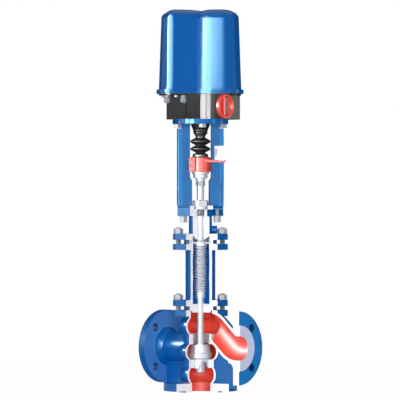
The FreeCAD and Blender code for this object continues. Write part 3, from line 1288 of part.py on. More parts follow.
def make_spindle_nut():
    """Nut of the spindle with its spur and bevel wheels, its two bearings and the bridge that holds the upper one."""
    bevel_drop = "(bevel_radius * pinion_teeth / bevel_teeth)"
    bevel_base = f"({WHEEL_AXIS} - {bevel_drop})"
    bevel_top = f"({bevel_base} + bevel_width * pinion_teeth / bevel_teeth)"
    bearing_base = f"({CASE_FLOOR} - bearing_height)"
    bore = "(spindle_diameter / 2 + slide_fit)"
    journal = "(nut_journal / 2)"
    hub = turned("nut_hub_turn", [
        (bore, f"{bearing_base} + free_gap"), (journal, f"{bearing_base} + free_gap"), (journal, CASE_FLOOR),
        ("nut_hub / 2", CASE_FLOOR), ("nut_hub / 2", bevel_base),
        (journal, bevel_base), (journal, f"{NUT_TOP} + bearing_height"), (bore, f"{NUT_TOP} + bearing_height"),
    ])
    pitch = "(tooth_module * nut_teeth / 2)"
    spur = gear("nut_spur", "nut_teeth", "nut_hub - 2", [(pitch, GEAR_BASE), (pitch, GEAR_TOP)],
                math.radians(value("yoke_turn")))
    dish = ring("nut_dish", "nut_hub - 2", "nut_dish_diameter", f"{bevel_base} - {GEAR_TOP} + 1",
                f"{GEAR_TOP} - 0.5")
    half_pitch = math.pi / value("bevel_teeth")
    bevel = gear("nut_bevel", "bevel_teeth", "nut_journal - 2", [
        ("bevel_radius", bevel_base), ("bevel_radius - bevel_width", bevel_top)], half_pitch)
    keep(fused("nut_whole", hub, spur, dish, bevel), "spindle_nut")
    inner = "nut_journal + 2 * slide_fit"
    bearings = [ring(f"bearing_{n}", inner, "bearing_diameter", "bearing_height - seat_fit", z)
                for n, z in enumerate((bearing_base, NUT_TOP))]
    keep(grouped("bearing_row", bearings), "nut_bearings")
    keep(ring("bridge", "bearing_diameter + 2 * seat_fit", "case_centre - 2 * case_wall - 2 * seat_fit",
              "bearing_height + bearing_shoulder", NUT_TOP), "bearing_bridge")


def make_motor():
    """Electric motor on its plate, with the pinion on its shaft."""
    pitch = "(tooth_module * motor_teeth / 2)"
    half_pitch = math.pi / value("motor_teeth")
    pinion = gear("pinion_spur", "motor_teeth", None, [(pitch, f"{GEAR_BASE} - free_gap"),
                                                       (pitch, f"{GEAR_TOP} + free_gap")], half_pitch)
    rod = cylinder("pinion_rod", "motor_shaft", f"{PLATE_TOP} + motor_shaft_depth - {GEAR_BASE}", z=GEAR_BASE)
    moving = turn_to_yoke(fused("pinion_whole", pinion, rod))
    bind(moving, Placement__Base__x=f"{MOTOR_DISTANCE} * cos(yoke_turn)",
         Placement__Base__y=f"{MOTOR_DISTANCE} * sin(yoke_turn)")
    keep(moving, "motor_pinion")
    can = cylinder("motor_can", "motor_diameter", "motor_length", MOTOR_DISTANCE, "0", PLATE_TOP)
    foot = cylinder("motor_flange", "motor_diameter + 8", "motor_foot", MOTOR_DISTANCE, "0", PLATE_TOP)
    socket = cylinder("motor_socket", "motor_shaft + 2 * slide_fit", "2 * motor_shaft_depth + 1", MOTOR_DISTANCE, "0",
                      f"{PLATE_TOP} - motor_shaft_depth")
    keep(turn_to_yoke(cut("motor_cut", fused("motor_cast", can, foot), socket)), "drive_motor")
    solids = case_solids("plate", "(case_wall + seat_fit)", PLATE_BASE, "plate_thick")
    holes = [cylinder("plate_centre", "nut_hub", "3 * plate_thick", z=f"{PLATE_BASE} - plate_thick"),
             cylinder("plate_motor", "motor_shaft + 2", "3 * plate_thick", MOTOR_DISTANCE, "0",
                      f"{PLATE_BASE} - plate_thick")]
    drilled = turn_to_yoke(cut("plate", fused("plate_whole", *solids), fused("plate_holes", *holes)))
    keep(cut("plate_notched", drilled, wheel_side("plate_notch", "(case_wall + seat_fit)", COVER_BASE)),
         "mounting_plate")


def make_electrics():
    """Circuit board with its terminal strip, the two limit switches and the cam on the spindle."""
    board_x = "(-case_left * 0.6)"
    board = block("board", "board_width", "board_thick", "board_height", board_x, "0", PLATE_TOP)
    keep(turn_to_yoke(grouped("board_turned", [board])), "circuit_board")
    strip = block("terminals", "board_width - 6", "terminal_depth", "terminal_depth", board_x,
                  "-(terminal_depth + board_thick) / 2", f"{PLATE_TOP} + board_height / 7")
    keep(turn_to_yoke(grouped("strip_turned", [strip])), "terminal_strip")
    switches = [block(f"switch_{n}", "switch_width", "switch_depth", "switch_height",
                      "-(cam_diameter + switch_width) / 2 - 2", f"{side}(switch_depth / 2 + 4)", PLATE_TOP)
                for n, side in enumerate(("", "-"))]
    keep(turn_to_yoke(grouped("switch_row", switches)), "limit_switches")
    keep(ring("cam", "spindle_diameter + 2 * seat_fit", "cam_diameter", "cam_thick", f"{SPINDLE_TOP} - 2 * cam_thick"),
         "switch_cam")


make_valve_body()
make_seats()
make_plug()
make_housing()
make_bellows()
make_gaskets()
make_bonnet()
make_packing()
make_studs()
make_yoke()
make_bolts()
make_coupling()
make_scale()
make_boot()
make_gear_case()
make_cover()
make_spindle_nut()
make_motor()
make_electrics()
make_handwheel()
doc.recompute()
faults = [thing.Label for thing in doc.Objects if "Invalid" in thing.State or "Error" in thing.State]
faults += [thing.Label for thing in PARTS if thing.Shape.isNull() or not thing.Shape.isValid()]
if faults:
    raise RuntimeError("faulty objects: " + ", ".join(faults))
os.makedirs("parts", exist_ok=True)
for thing in PARTS:
    thing.Shape.exportStep(f"parts/{thing.Label}.step")
    box = thing.Shape.BoundBox
    print(thing.Label, len(thing.Shape.Solids), round(thing.Shape.Volume),
          [round(v, 1) for v in (box.XMin, box.YMin, box.ZMin, box.XMax, box.YMax, box.ZMax)])
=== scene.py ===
"""Looks of the sectioned control valve.

Finishes for the CAD nodes, threaded and turned pieces, boot, bellows, floor, lights and camera.
"""
import bmesh
import bpy
import json
import math
from mathutils import Matrix, Vector


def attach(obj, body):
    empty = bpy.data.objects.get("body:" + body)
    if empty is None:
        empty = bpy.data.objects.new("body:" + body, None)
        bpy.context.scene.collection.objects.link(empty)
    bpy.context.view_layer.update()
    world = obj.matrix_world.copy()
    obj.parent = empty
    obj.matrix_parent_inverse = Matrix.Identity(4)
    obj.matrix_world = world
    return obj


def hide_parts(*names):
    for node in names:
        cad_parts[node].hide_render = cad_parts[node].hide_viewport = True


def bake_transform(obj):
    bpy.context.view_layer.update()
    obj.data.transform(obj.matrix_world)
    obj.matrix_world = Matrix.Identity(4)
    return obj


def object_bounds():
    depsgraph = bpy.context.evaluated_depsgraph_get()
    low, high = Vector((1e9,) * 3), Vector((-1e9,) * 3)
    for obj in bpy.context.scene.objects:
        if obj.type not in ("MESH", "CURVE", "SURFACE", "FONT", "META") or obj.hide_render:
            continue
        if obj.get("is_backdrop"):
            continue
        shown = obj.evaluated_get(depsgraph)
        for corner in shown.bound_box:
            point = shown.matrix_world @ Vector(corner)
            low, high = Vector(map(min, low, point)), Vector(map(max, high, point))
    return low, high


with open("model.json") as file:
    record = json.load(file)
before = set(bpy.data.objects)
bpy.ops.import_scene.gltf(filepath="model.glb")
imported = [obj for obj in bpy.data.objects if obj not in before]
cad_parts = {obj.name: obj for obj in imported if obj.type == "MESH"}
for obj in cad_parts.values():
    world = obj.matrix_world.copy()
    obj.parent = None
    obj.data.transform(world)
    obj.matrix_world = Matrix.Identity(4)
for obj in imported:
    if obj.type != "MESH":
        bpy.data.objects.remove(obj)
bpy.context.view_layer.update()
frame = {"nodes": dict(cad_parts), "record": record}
NODES = frame["nodes"]
SCENE = bpy.context.scene
MM = 0.001
DIAGONAL = math.sqrt(0.5)
IDENTITY = Matrix.Identity(4)
# Turn of the yoke and of the actuator about the stem
TO_YOKE = Matrix.Rotation(math.radians(45), 4, "Z")


# Materials

CLOUD_EDGES = (0.3, 0.7)
GLOSS_SPREAD = 0.15
GRAIN_DEPTH = 0.0002
COAT_ROUGHNESS = 0.06
PAINT_GLINT = (0.36, 0.74, 1.0, 1.0)
BODY_GLINT = (0.5, 0.82, 1.0, 1.0)


def colour(code):
    """Linear colour of a six-digit sRGB code."""
    parts = [int(code[i:i + 2], 16) / 255 for i in (0, 2, 4)]
    return tuple(c / 12.92 if c <= 0.04045 else ((c + 0.055) / 1.055) ** 2.4 for c in parts) + (1.0,)


def noise(nodes, links, mapping, size, detail):
    """The value of a noise texture whose spots measure about the size (m)."""
    made = nodes.new("ShaderNodeTexNoise")
    made.inputs["Scale"].default_value = 1 / size
    made.inputs["Detail"].default_value = detail
    links.new(mapping.outputs["Vector"], made.inputs["Vector"])
    return made.outputs["Fac"]


def material(name, code, rough=0.35, metal=0.0, coat=0.0, spec=0.5, grain=0.0, grain_size=0.004, tint=0.06,
             stretch=(1, 1, 1), blotch=0.03, glint=(1, 1, 1, 1)):
    """A procedural finish: colour that varies a little, uneven gloss, and a fine grain in the surface."""
    made = bpy.data.materials.new(name)
    made.use_nodes = True
    nodes, links = made.node_tree.nodes, made.node_tree.links
    shader = nodes["Principled BSDF"]
    place = nodes.new("ShaderNodeTexCoord")
    mapping = nodes.new("ShaderNodeMapping")
    mapping.inputs["Scale"].default_value = stretch
    links.new(place.outputs["Object"], mapping.inputs["Vector"])
    ramp = nodes.new("ShaderNodeValToRGB")
    for stop, position, share in zip(ramp.color_ramp.elements, CLOUD_EDGES, (1 - tint, 1 + tint)):
        stop.position = position
        stop.color = tuple(min(1.0, c * share) for c in colour(code)[:3]) + (1.0,)
    links.new(noise(nodes, links, mapping, blotch, 4), ramp.inputs["Fac"])
    links.new(ramp.outputs["Color"], shader.inputs["Base Color"])
    fine = noise(nodes, links, mapping, grain_size, 3)
    gloss = nodes.new("ShaderNodeMapRange")
    gloss.inputs["To Min"].default_value = rough * (1 - GLOSS_SPREAD)
    gloss.inputs["To Max"].default_value = rough * (1 + GLOSS_SPREAD)
    links.new(fine, gloss.inputs["Value"])
    links.new(gloss.outputs["Result"], shader.inputs["Roughness"])
    if grain:
        bump = nodes.new("ShaderNodeBump")
        bump.inputs["Strength"].default_value = grain
        bump.inputs["Distance"].default_value = GRAIN_DEPTH
        links.new(fine, bump.inputs["Height"])
        links.new(bump.outputs["Normal"], shader.inputs["Normal"])
    shader.inputs["Metallic"].default_value = metal
    shader.inputs["Coat Weight"].default_value = coat
    shader.inputs["Coat Roughness"].default_value = COAT_ROUGHNESS
    shader.inputs["Specular IOR Level"].default_value = spec
    shader.inputs["Specular Tint"].default_value = glint
    return made


def blue_paint(name, code, rough, spec, grain, grain_size, glint=PAINT_GLINT, **more):
    """Blue paint whose weak reflections turn to cyan."""
    return material(name, code, rough=rough, spec=spec, grain=grain, grain_size=grain_size, glint=glint, **more)


BLUE_CAST = blue_paint("blue_cast_paint", "005CA8", 0.23, 0.22, 0.3, 0.0022, blotch=0.02)
BLUE_BODY = blue_paint("blue_body_paint", "005FAC", 0.25, 0.24, 0.25, 0.0022, glint=BODY_GLINT, blotch=0.02)
BLUE_SMOOTH = blue_paint("blue_smooth_paint", "005EAA", 0.17, 0.24, 0.08, 0.003)
# Lighter blue for the column flanges of the yoke: painted light.
BLUE_FLANGE_LIT = blue_paint("blue_column_flange_painted_light", "1270BC", 0.2, 0.24, 0.08, 0.003)
# Light blue for the softened column edges of the yoke: a painted highlight.
BLUE_EDGE_HIGHLIGHT = blue_paint("blue_painted_edge_highlight", "74BDEC", 0.16, 0.3, 0.05, 0.003)
# Darker blue for the recessed column webs of the yoke: painted shade.
BLUE_WEB_SHADED = blue_paint("blue_column_web_painted_shade", "00559C", 0.22, 0.24, 0.1, 0.003)
BLUE_HOOD = blue_paint("blue_hood", "0058A6", 0.18, 0.27, 0.03, 0.003, tint=0.03)
BLUE_FACE = blue_paint("blue_machined_paint", "0E76C4", 0.38, 0.25, 0.15, 0.002)
# Lighter blue for the backs of the side flanges: painted light.
BLUE_BACK_LIT = blue_paint("blue_flange_back_painted_light", "4585CC", 0.36, 0.3, 0.12, 0.002)
# Darker, duller blue for the flange rims and the front of the yoke foot: painted shade together with less gloss.
BLUE_SHADED_SIDE = blue_paint("blue_rim_and_foot_painted_shade", "0056A2", 0.5, 0.08, 0.12, 0.002)
BLUE_INNER = blue_paint("blue_housing_bore", "1C84DC", 0.4, 0.2, 0.1, 0.002)
# Darker blue for the walls of the bolt holes: painted shade.
BLUE_HOLE_SHADE = material("blue_hole_painted_shade", "00427F", rough=0.6, spec=0.1, grain=0.2, grain_size=0.002)
CUT_WHITE = material("cut_face_white", "F6F6FC", rough=0.45, spec=0.3, grain=0.05, grain_size=0.002, tint=0.02)
BORE_GREY = material("machined_bore", "C4C8D2", rough=0.4, metal=0.2, grain=0.12, grain_size=0.0012, tint=0.05)
FACE_LILAC = material("raised_face", "C9D3F0", rough=0.36, grain=0.2, grain_size=0.0015, tint=0.03)
WET_RED = material("red_wetted_paint", "F04A36", rough=0.46, grain=0.08, grain_size=0.003, tint=0.08)
STEEL = material("turned_steel", "B9BDC7", rough=0.36, metal=0.1, spec=0.25, grain=0.1, grain_size=0.0012,
                 stretch=(1, 1, 9), tint=0.04)
STEEL_DARK = material("ground_steel", "83868F", rough=0.40, metal=0.15, spec=0.3, grain=0.2, grain_size=0.001,
                      stretch=(1, 1, 6))
ZINC = material("zinc_plated", "A9ADB8", rough=0.34, spec=0.2, grain=0.12, grain_size=0.0015)
NICKEL = material("gland_nickel", "898D96", rough=0.36, spec=0.1, grain=0.1, grain_size=0.0012)
SEAL_BLACK = material("graphite_seal", "26272B", rough=0.55, grain=0.4, grain_size=0.0008)
CASE_BLACK = material("case_black", "1C1E20", rough=0.15, spec=0.14, grain=0.12, grain_size=0.0007)
RUBBER = material("boot_rubber", "101113", rough=0.36, spec=0.45, grain=0.12, grain_size=0.001)
RING_BLACK = material("boot_ring", "17191B", rough=0.28, spec=0.2, grain=0.1, grain_size=0.001)
RED_PLASTIC = material("red_plastic", "E4412F", rough=0.32, spec=0.35, grain=0.06, grain_size=0.001)
GREY_PLASTIC = material("grey_plastic", "6E7078", rough=0.40, grain=0.15, grain_size=0.001)
SCALE_WHITE = material("scale_white", "F8F9FB", rough=0.38, grain=0.04, tint=0.02)
SCALE_GREY = material("scale_strip", "C3CCDA", rough=0.4, grain=0.06, tint=0.03)
MARK_BLACK = material("scale_mark", "22242C", rough=0.5, grain=0.1)
BRASS = material("gear_brass", "C9A45A", rough=0.30, metal=1.0, grain=0.2, grain_size=0.0008)
MOTOR_STEEL = material("motor_can", "8B8E96", metal=1.0, grain=0.2, grain_size=0.001, stretch=(1, 1, 8))
BOARD = material("board_green", "0E5B31", coat=0.4, grain=0.1, grain_size=0.001)


# Mesh helpers

ON_AXIS = 1e-6
ARC_SHARE = 0.45
SHORTEST_ARC = 0.02
NEARLY_STRAIGHT = 0.05
THREAD_ROWS = 6
THREAD_SHARE = 0.55
THREAD_RUNOUT = 0.6
STUD_END = 1.2
STUD_POINT = 1.25
STUD_TIP = 1.6
STUD_ROOT = 0.5
BORE_CHAMFER = 0.8
MERGE_DISTANCE = 2e-6
BEVEL_ROOM = 2.2
BEVEL_ROUNDNESS = 0.6


def mesh_from(name, form, angle):
    """The mesh of a bmesh, shaded smooth except where faces meet at more than the angle in degrees."""
    mesh = bpy.data.meshes.new(name)
    form.normal_update()
    form.to_mesh(mesh)
    form.free()
    mesh.shade_smooth()
    mesh.set_sharp_from_angle(angle=math.radians(angle))
    return mesh


def piece_of(name, form, angle, finish, body, *replaced, slot=None):
    """A bmesh as a finished piece that rides on a body, where given, and stands for the given nodes."""
    bmesh.ops.recalc_face_normals(form, faces=form.faces)
    mesh = mesh_from(name, form, angle)
    mesh.materials.append(finish)
    piece = bpy.data.objects.new(name, mesh)
    SCENE.collection.objects.link(piece)
    if replaced:
        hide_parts(*replaced)
    if body:
        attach(piece, body)
    return piece


def even_normals(mesh, angle):
    """Corner normals in which large faces outweigh small ones, so that flats beside fillets shade as flats."""
    limit = math.cos(math.radians(angle))
    around = [[] for _ in mesh.vertices]
    for face in mesh.polygons:
        for corner in face.vertices:
            around[corner].append((face.normal.copy(), face.area))
    corners = []
    for face in mesh.polygons:
        own = face.normal
        for corner in face.vertices:
            total = sum((n * area for n, area in around[corner] if own.dot(n) > limit), Vector())
            corners.append(total.normalized() if total.length else own)
    mesh.normals_split_custom_set(corners)


def at(x, y, z, turn=0.0):
    """Placement at a point (mm), turned about the Z axis."""
    return Matrix.Translation(Vector((x, y, z)) * MM) @ Matrix.Rotation(turn, 4, "Z")


def point(form, x, y, z, turn=IDENTITY):
    """A vertex of a bmesh (mm)."""
    return form.verts.new(turn @ (Vector((x, y, z)) * MM))


def circle(form, radius, z, steps, turn):
    """The vertices of a circle about the Z axis (mm)."""
    return [point(form, radius * math.cos(a), radius * math.sin(a), z, turn)
            for a in (2 * math.pi * s / steps for s in range(steps))]


def band(form, low, high, closed=True):
    """Four-sided faces between two rows of vertices, which are rings where closed."""
    count = len(low)
    for s in range(count if closed else count - 1):
        t = (s + 1) % count
        form.faces.new((low[s], low[t], high[t], high[s]))


def capped(form, rings):
    """Bands between the rings, with a flat face at either end."""
    for low, high in zip(rings, rings[1:]):
        band(form, low, high)
    form.faces.new(list(reversed(rings[0])))
    form.faces.new(rings[-1])


def revolve(form, profile, steps=96, turn=IDENTITY):
    """Add a turned form to a bmesh: profile is a closed line of (radius, height) in mm, about the Z axis."""
    rings = [circle(form, r, z, steps, turn) if r > ON_AXIS else [point(form, 0, 0, z, turn)] for r, z in profile]
    pairs = list(zip(rings, rings[1:]))
    if len(rings[0]) > 1 and len(rings[-1]) > 1:
        pairs.append((rings[-1], rings[0]))
    for low, high in pairs:
        if len(low) > 1 and len(high) > 1:
            band(form, low, high)
        elif len(high) > 1:
            for s in range(steps):
                form.faces.new((low[0], high[(s + 1) % steps], high[s]))
        elif len(low) > 1:
            for s in range(steps):
                form.faces.new((low[s], low[(s + 1) % steps], high[0]))


def rounded(profile, radius, steps=4):
    """The profile with its inner corners replaced by small arcs."""
    result = [profile[0]]
    for before, corner, after in zip(profile, profile[1:], profile[2:]):
        a = Vector(before) - Vector(corner)
        b = Vector(after) - Vector(corner)
        reach = min(radius, a.length * ARC_SHARE, b.length * ARC_SHARE)
        if reach < SHORTEST_ARC or abs(a.normalized().cross(b.normalized())) < NEARLY_STRAIGHT:
            result.append(corner)
            continue
        start = Vector(corner) + a.normalized() * reach
        end = Vector(corner) + b.normalized() * reach
        for step in range(steps + 1):
            t = step / steps
            spot = start.lerp(Vector(corner), t).lerp(Vector(corner).lerp(end, t), t)
            result.append((spot.x, spot.y))
    result.append(profile[-1])
    return result


def thread(form, outer, pitch, length, turn, depth=None, steps=28):
    """A helical thread in a bmesh, from z = 0 to length (mm), closed by flat ends."""
    depth = depth or pitch * THREAD_SHARE
    count = max(2, int(length / pitch * THREAD_ROWS))
    rings = []
    for k in range(count + 1):
        z = length * k / count
        fade = min(1, z / pitch, (length - z) / pitch)
        ring = []
        for s in range(steps):
            phase = (z / pitch - s / steps) % 1
            dip = 1 - abs(2 * phase - 1)
            r = outer - depth * (dip * fade + (1 - fade) * THREAD_RUNOUT)
            a = 2 * math.pi * s / steps
            ring.append(point(form, r * math.cos(a), r * math.sin(a), z, turn))
        rings.append(ring)
    capped(form, rings)


def stud(form, x, y, low, high, radius, pitch, turn=IDENTITY):
    """A threaded rod with chamfered ends between two heights (mm)."""
    thread(form, radius, pitch, high - low - 2 * STUD_END, turn @ at(x, y, low + STUD_END))
    for z, inner in ((low, low + STUD_POINT), (high, high - STUD_POINT)):
        revolve(form, [(0, z), (radius - STUD_TIP, z), (radius - STUD_ROOT, inner), (0, inner)], 28,
                turn @ at(x, y, 0))


def hexagon(form, width, height, bore, turn, chamfer=0.93, lower=True, per_side=6):
    """A hexagon nut or head with chamfered corners and a bore (0 for none), standing on z = 0 (mm)."""
    steps = 6 * per_side
    flat = width / 2
    inner = flat * chamfer
    slope = math.tan(math.radians(30))
    rings = [[], [], [], []]
    for s in range(steps):
        a = 2 * math.pi * s / steps
        r = flat / math.cos((a + math.pi / 6) % (math.pi / 3) - math.pi / 6)
        drop = (r - inner) * slope
        for ring, (radius, z) in zip(rings, ((inner, 0), (r, drop if lower else 0), (r, height - drop),
                                             (inner, height))):
            ring.append(point(form, radius * math.cos(a), radius * math.sin(a), z, turn))
    if not bore:
        capped(form, rings)
        return
    for radius, z in ((bore / 2 + BORE_CHAMFER, height), (bore / 2, height - BORE_CHAMFER), (bore / 2, 0)):
        rings.append(circle(form, radius, z, steps, turn))
    for low, high in zip(rings, rings[1:] + rings[:1]):
        band(form, low, high)


def body_of_node(name):
    """The body that carries a CAD node."""
    for label, listed in frame["record"]["behaviour"]["bodies"].items():
        if name in listed:
            return label
    raise KeyError(name)


def dressed(name, pick, finishes, bevel=0.0, angle=32, dissolve=0.4, shortest=0.0, edge_highlight_finish=-1):
    """A cleaned copy of a CAD node with one finish per face and, where asked, softened edges.

    With a shortest length (mm), only long convex edges with free ends are softened. Where an edge finish is
    given, the softened edges take it as a painted highlight.
    """
    form = bmesh.new()
    form.from_mesh(NODES[name].data)
    bmesh.ops.remove_doubles(form, verts=form.verts, dist=MERGE_DISTANCE)
    form.normal_update()
    for face in form.faces:
        face.material_index = pick([v.co / MM for v in face.verts], face.normal)
    if dissolve:
        bmesh.ops.dissolve_limit(form, angle_limit=math.radians(dissolve), verts=form.verts, edges=form.edges,
                                 delimit={"MATERIAL"})
        form.normal_update()
    if bevel:
        sharp = [e for e in form.edges if len(e.link_faces) == 2 and e.calc_face_angle(0) > math.radians(angle)
                 and e.calc_length() > max(bevel, shortest) * MM]
        if shortest:
            room = BEVEL_ROOM * bevel * MM
            sharp = [e for e in sharp if e.is_convex
                     and all(near.calc_length() > room for v in e.verts for near in v.link_edges)]
        # The bevel faces take the edge finish, where one is given, as a painted highlight.
        bmesh.ops.bevel(form, geom=sharp, offset=bevel * MM, offset_type="OFFSET", segments=2,
                        profile=BEVEL_ROUNDNESS, affect="EDGES", clamp_overlap=not shortest,
                        material=edge_highlight_finish)
    mesh = mesh_from(name + "_mesh", form, angle)
    even_normals(mesh, angle)
    for finish in finishes:
        mesh.materials.append(finish)
    piece = bpy.data.objects.new(name + "_dressed", mesh)
    SCENE.collection.objects.link(piece)
    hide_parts(name)
    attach(piece, body_of_node(name))


def paint(name, finish):
    """Give a CAD node, whose shape stays, its finish."""
    mesh = NODES[name].data
    mesh.materials.clear()
    mesh.materials.append(finish)


# Sorting of faces (mm): cut faces lie on the planes x = 0 and y = 0, wetted faces line the chambers

ON_PLANE = 0.02
FACING = 0.9
SQUARE_ON = 0.97
EXACTLY_ON = 0.99
FLOW = 100.0
CHANNEL_BEND = 34.0
CHANNEL_TOP = 150.0
CHANNEL_CORNERS = (92, 37)
CHANNEL_START = 140
BEND_STEPS = 8
CHANNEL_REACH = 27.6
LEFT_PORT_END = -130
BOTTOM_PORT = (20.5, 29.6)
CHAMBERS = ((20, 34.5, 82), (73, 34.6, 92), (130, 35, 88))
SEAT_REACH = 33.8
CHAMBER_WAIST = 33
CHAMBER_SLACK = 1.5
BODY_BORE_TOP = 183
HOLE_OFFSET = 44.19
HOLE_REACH = 9.6
RAISED_FACE = 114.9
FLANGE_FACE = 111.5
FLANGE_BACK = 95.0
NECK_REACH = 33
RIM_REACH = 80
HOUSING_BORE = (27.2, 196, 334)
BONNET_BORE = (29.5, 356, 13)
SCALE_STRIP = 38.8
WEB_DEPTH = 14
FLANGE_DEPTH = 17

# Finish numbers of the valve body: the flange backs are painted lighter (painted light), the bolt-hole walls and
# the flange rims darker (painted shade).
OUTSIDE, CUT, WET, RAISED, FACE, BACK_LIT, SHADED_HOLE, SHADED_RIM = range(8)
BORE = 2
# Finish numbers of the yoke: the column web is painted darker (painted shade), the column flange lighter (painted
# light), the softened column edges light blue (painted highlight), and the front of the foot darker (painted
# shade).
SHADED_WEB, COLUMN_FLANGE_LIT, COLUMN_EDGE_HIGHLIGHT, SHADED_FOOT = 2, 3, 4, 5


def channel_line():
    """Points along the middle of the channel from the right port through its two bends to the upper chamber."""
    low_x, high_x = CHANNEL_CORNERS
    slope = math.atan2(CHANNEL_TOP - FLOW, low_x - high_x)
    lead = CHANNEL_BEND * math.tan(slope / 2)
    turns = [slope * k / BEND_STEPS for k in range(BEND_STEPS + 1)]
    lower = [Vector((low_x + lead - CHANNEL_BEND * math.sin(a), 0,
                     FLOW + CHANNEL_BEND * (1 - math.cos(a)))) for a in turns]
    upper = [Vector((high_x - lead + CHANNEL_BEND * math.sin(a), 0,
                     CHANNEL_TOP - CHANNEL_BEND * (1 - math.cos(a)))) for a in reversed(turns)]
    return [Vector((CHANNEL_START, 0, FLOW))] + lower + upper + [Vector((0, 0, CHANNEL_TOP))]


CHANNEL = channel_line()


def within(points, reach):
    """True where all points lie nearer to the Z axis than the reach."""
    return all(math.hypot(p.x, p.y) < reach for p in points)


def on_cut(points, normal):
    """True for a face that the quadrant cut has laid open."""
    on_x = all(abs(p.x) < ON_PLANE and p.y < ON_PLANE for p in points) and normal.x > FACING
    on_y = all(abs(p.y) < ON_PLANE and p.x > -ON_PLANE for p in points) and normal.y < -FACING
    return on_x or on_y


def to_line(spot, start, end):
    """Distance of a point from the line between two others."""
    along = end - start
    share = max(0.0, min(1.0, (spot - start).dot(along) / along.length_squared))
    return (spot - start - along * share).length


def wetted(p):
    """True for a point on the walls of the chambers, the ports or the channel."""
    if min(to_line(p, a, b) for a, b in zip(CHANNEL, CHANNEL[1:])) < CHANNEL_REACH:
        return True
    if LEFT_PORT_END < p.x < 0 and math.hypot(p.y, p.z - FLOW) < CHANNEL_REACH:
        return True
    port_top, wall = BOTTOM_PORT
    if p.z >= port_top:
        wall = SEAT_REACH
        for base, height, width in CHAMBERS:
            if base <= p.z <= base + height:
                bulge = math.sqrt(max(0.0, 1 - ((p.z - base) / height * 2 - 1) ** 2))
                wall = CHAMBER_WAIST + (width / 2 - CHAMBER_WAIST) * bulge + CHAMBER_SLACK
    return math.hypot(p.x, p.y) < wall


def in_hole(points):
    """True for the wall of a bolt hole in a side flange."""
    return any(all(math.hypot(p.y - y, p.z - FLOW - z) < HOLE_REACH for p in points)
               for y in (-HOLE_OFFSET, HOLE_OFFSET) for z in (-HOLE_OFFSET, HOLE_OFFSET))


def body_face(points, normal):
    """The finish of a face of the valve body."""
    if on_cut(points, normal):
        return CUT
    middle = sum(points, Vector()) / len(points)
    out = abs(middle.x)
    from_port = math.hypot(middle.y, middle.z - FLOW)
    if out > RAISED_FACE and normal.x * middle.x > FACING * out or middle.z < 0.1 and normal.z < -FACING:
        return RAISED
    if all(wetted(p) for p in points) and middle.z < BODY_BORE_TOP:
        return WET
    if abs(normal.x) > SQUARE_ON and out > FLANGE_FACE:
        return FACE
    # The backs of the side flanges get a lighter blue: painted light.
    if abs(normal.x) > SQUARE_ON and abs(out - FLANGE_BACK) < 0.5 and from_port > NECK_REACH:
        return BACK_LIT
    # The walls of the bolt holes get a darker blue: painted shade.
    if out > FLANGE_BACK - 0.1 and abs(normal.x) < 0.1 and in_hole(points):
        return SHADED_HOLE
    # The flange rims get the darker, duller blue: painted shade.
    return SHADED_RIM if out > FLANGE_BACK - 0.1 and from_port > RIM_REACH else OUTSIDE


def housing_face(points, normal):
    """The finish of a face of the bellows housing."""
    if on_cut(points, normal):
        return CUT
    reach, low, high = HOUSING_BORE
    return BORE if within(points, reach) and low < points[0].z < high else OUTSIDE


def bonnet_face(points, normal):
    """The finish of a face of the bonnet, whose bore is wide below and narrow above."""
    if on_cut(points, normal):
        return CUT
    wide, step, narrow = BONNET_BORE
    bored = all(math.hypot(p.x, p.y) < (wide if p.z < step else narrow) for p in points)
    return BORE if bored else OUTSIDE


def yoke_face(points, normal):
    """The finish of a face of the yoke, whose columns have a recessed web beside a flange; the web is painted
    darker as painted shade and the flange lighter as painted light.
    """
    if on_cut(points, normal):
        return CUT
    # The front of the foot gets the darker, duller blue: painted shade.
    if normal.y < -EXACTLY_ON:
        return SHADED_FOOT
    depth = max(abs(p.x - p.y) * DIAGONAL for p in points)
    if abs(normal.x - normal.y) * DIAGONAL < EXACTLY_ON or depth > FLANGE_DEPTH:
        return OUTSIDE
    return SHADED_WEB if depth < WEB_DEPTH else COLUMN_FLANGE_LIT


def scale_face(points, normal):
    """The strip with the marks is greyer than the plate in front of the column."""
    return 1 if all((p.x + p.y) * DIAGONAL < SCALE_STRIP for p in points) else 0


def cut_or_outside(points, normal):
    """The finish of a face of a piece that is white where cut."""
    return CUT if on_cut(points, normal) else OUTSIDE


def plain(points, normal):
    """One finish for every face."""
    return OUTSIDE


dressed("valve_body", body_face, [BLUE_BODY, CUT_WHITE, WET_RED, FACE_LILAC, BLUE_FACE, BLUE_BACK_LIT, BLUE_HOLE_SHADE,
                                  BLUE_SHADED_SIDE], dissolve=0)
dressed("bellows_housing", housing_face, [BLUE_CAST, CUT_WHITE, BLUE_INNER], dissolve=0)
dressed("bonnet", bonnet_face, [BLUE_CAST, CUT_WHITE, BORE_GREY], dissolve=0)
# The yoke's column flanges are painted lighter (painted light), its recessed webs darker (painted shade), its
# softened column edges light blue (painted highlight) and the front of its foot darker (painted shade).
dressed("yoke", yoke_face, [BLUE_SMOOTH, CUT_WHITE, BLUE_WEB_SHADED, BLUE_FLANGE_LIT, BLUE_EDGE_HIGHLIGHT, BLUE_SHADED_SIDE], bevel=1.7,
        shortest=20, edge_highlight_finish=COLUMN_EDGE_HIGHLIGHT)
for label in ("lower_seat_ring", "upper_seat_ring", "guide_bush", "stem_bush", "bellows_top_ring"):
    dressed(label, cut_or_outside, [STEEL, CUT_WHITE], dissolve=0)
for label in ("body_gasket", "bonnet_gasket", "packing_rings"):
    dressed(label, cut_or_outside, [SEAL_BLACK, CUT_WHITE], dissolve=0)
dressed("coupling_clamp", plain, [RED_PLASTIC], bevel=0.7)
dressed("handwheel", plain, [RED_PLASTIC], bevel=0.5, angle=28)
dressed("crank_handle", plain, [GREY_PLASTIC], bevel=0.5)
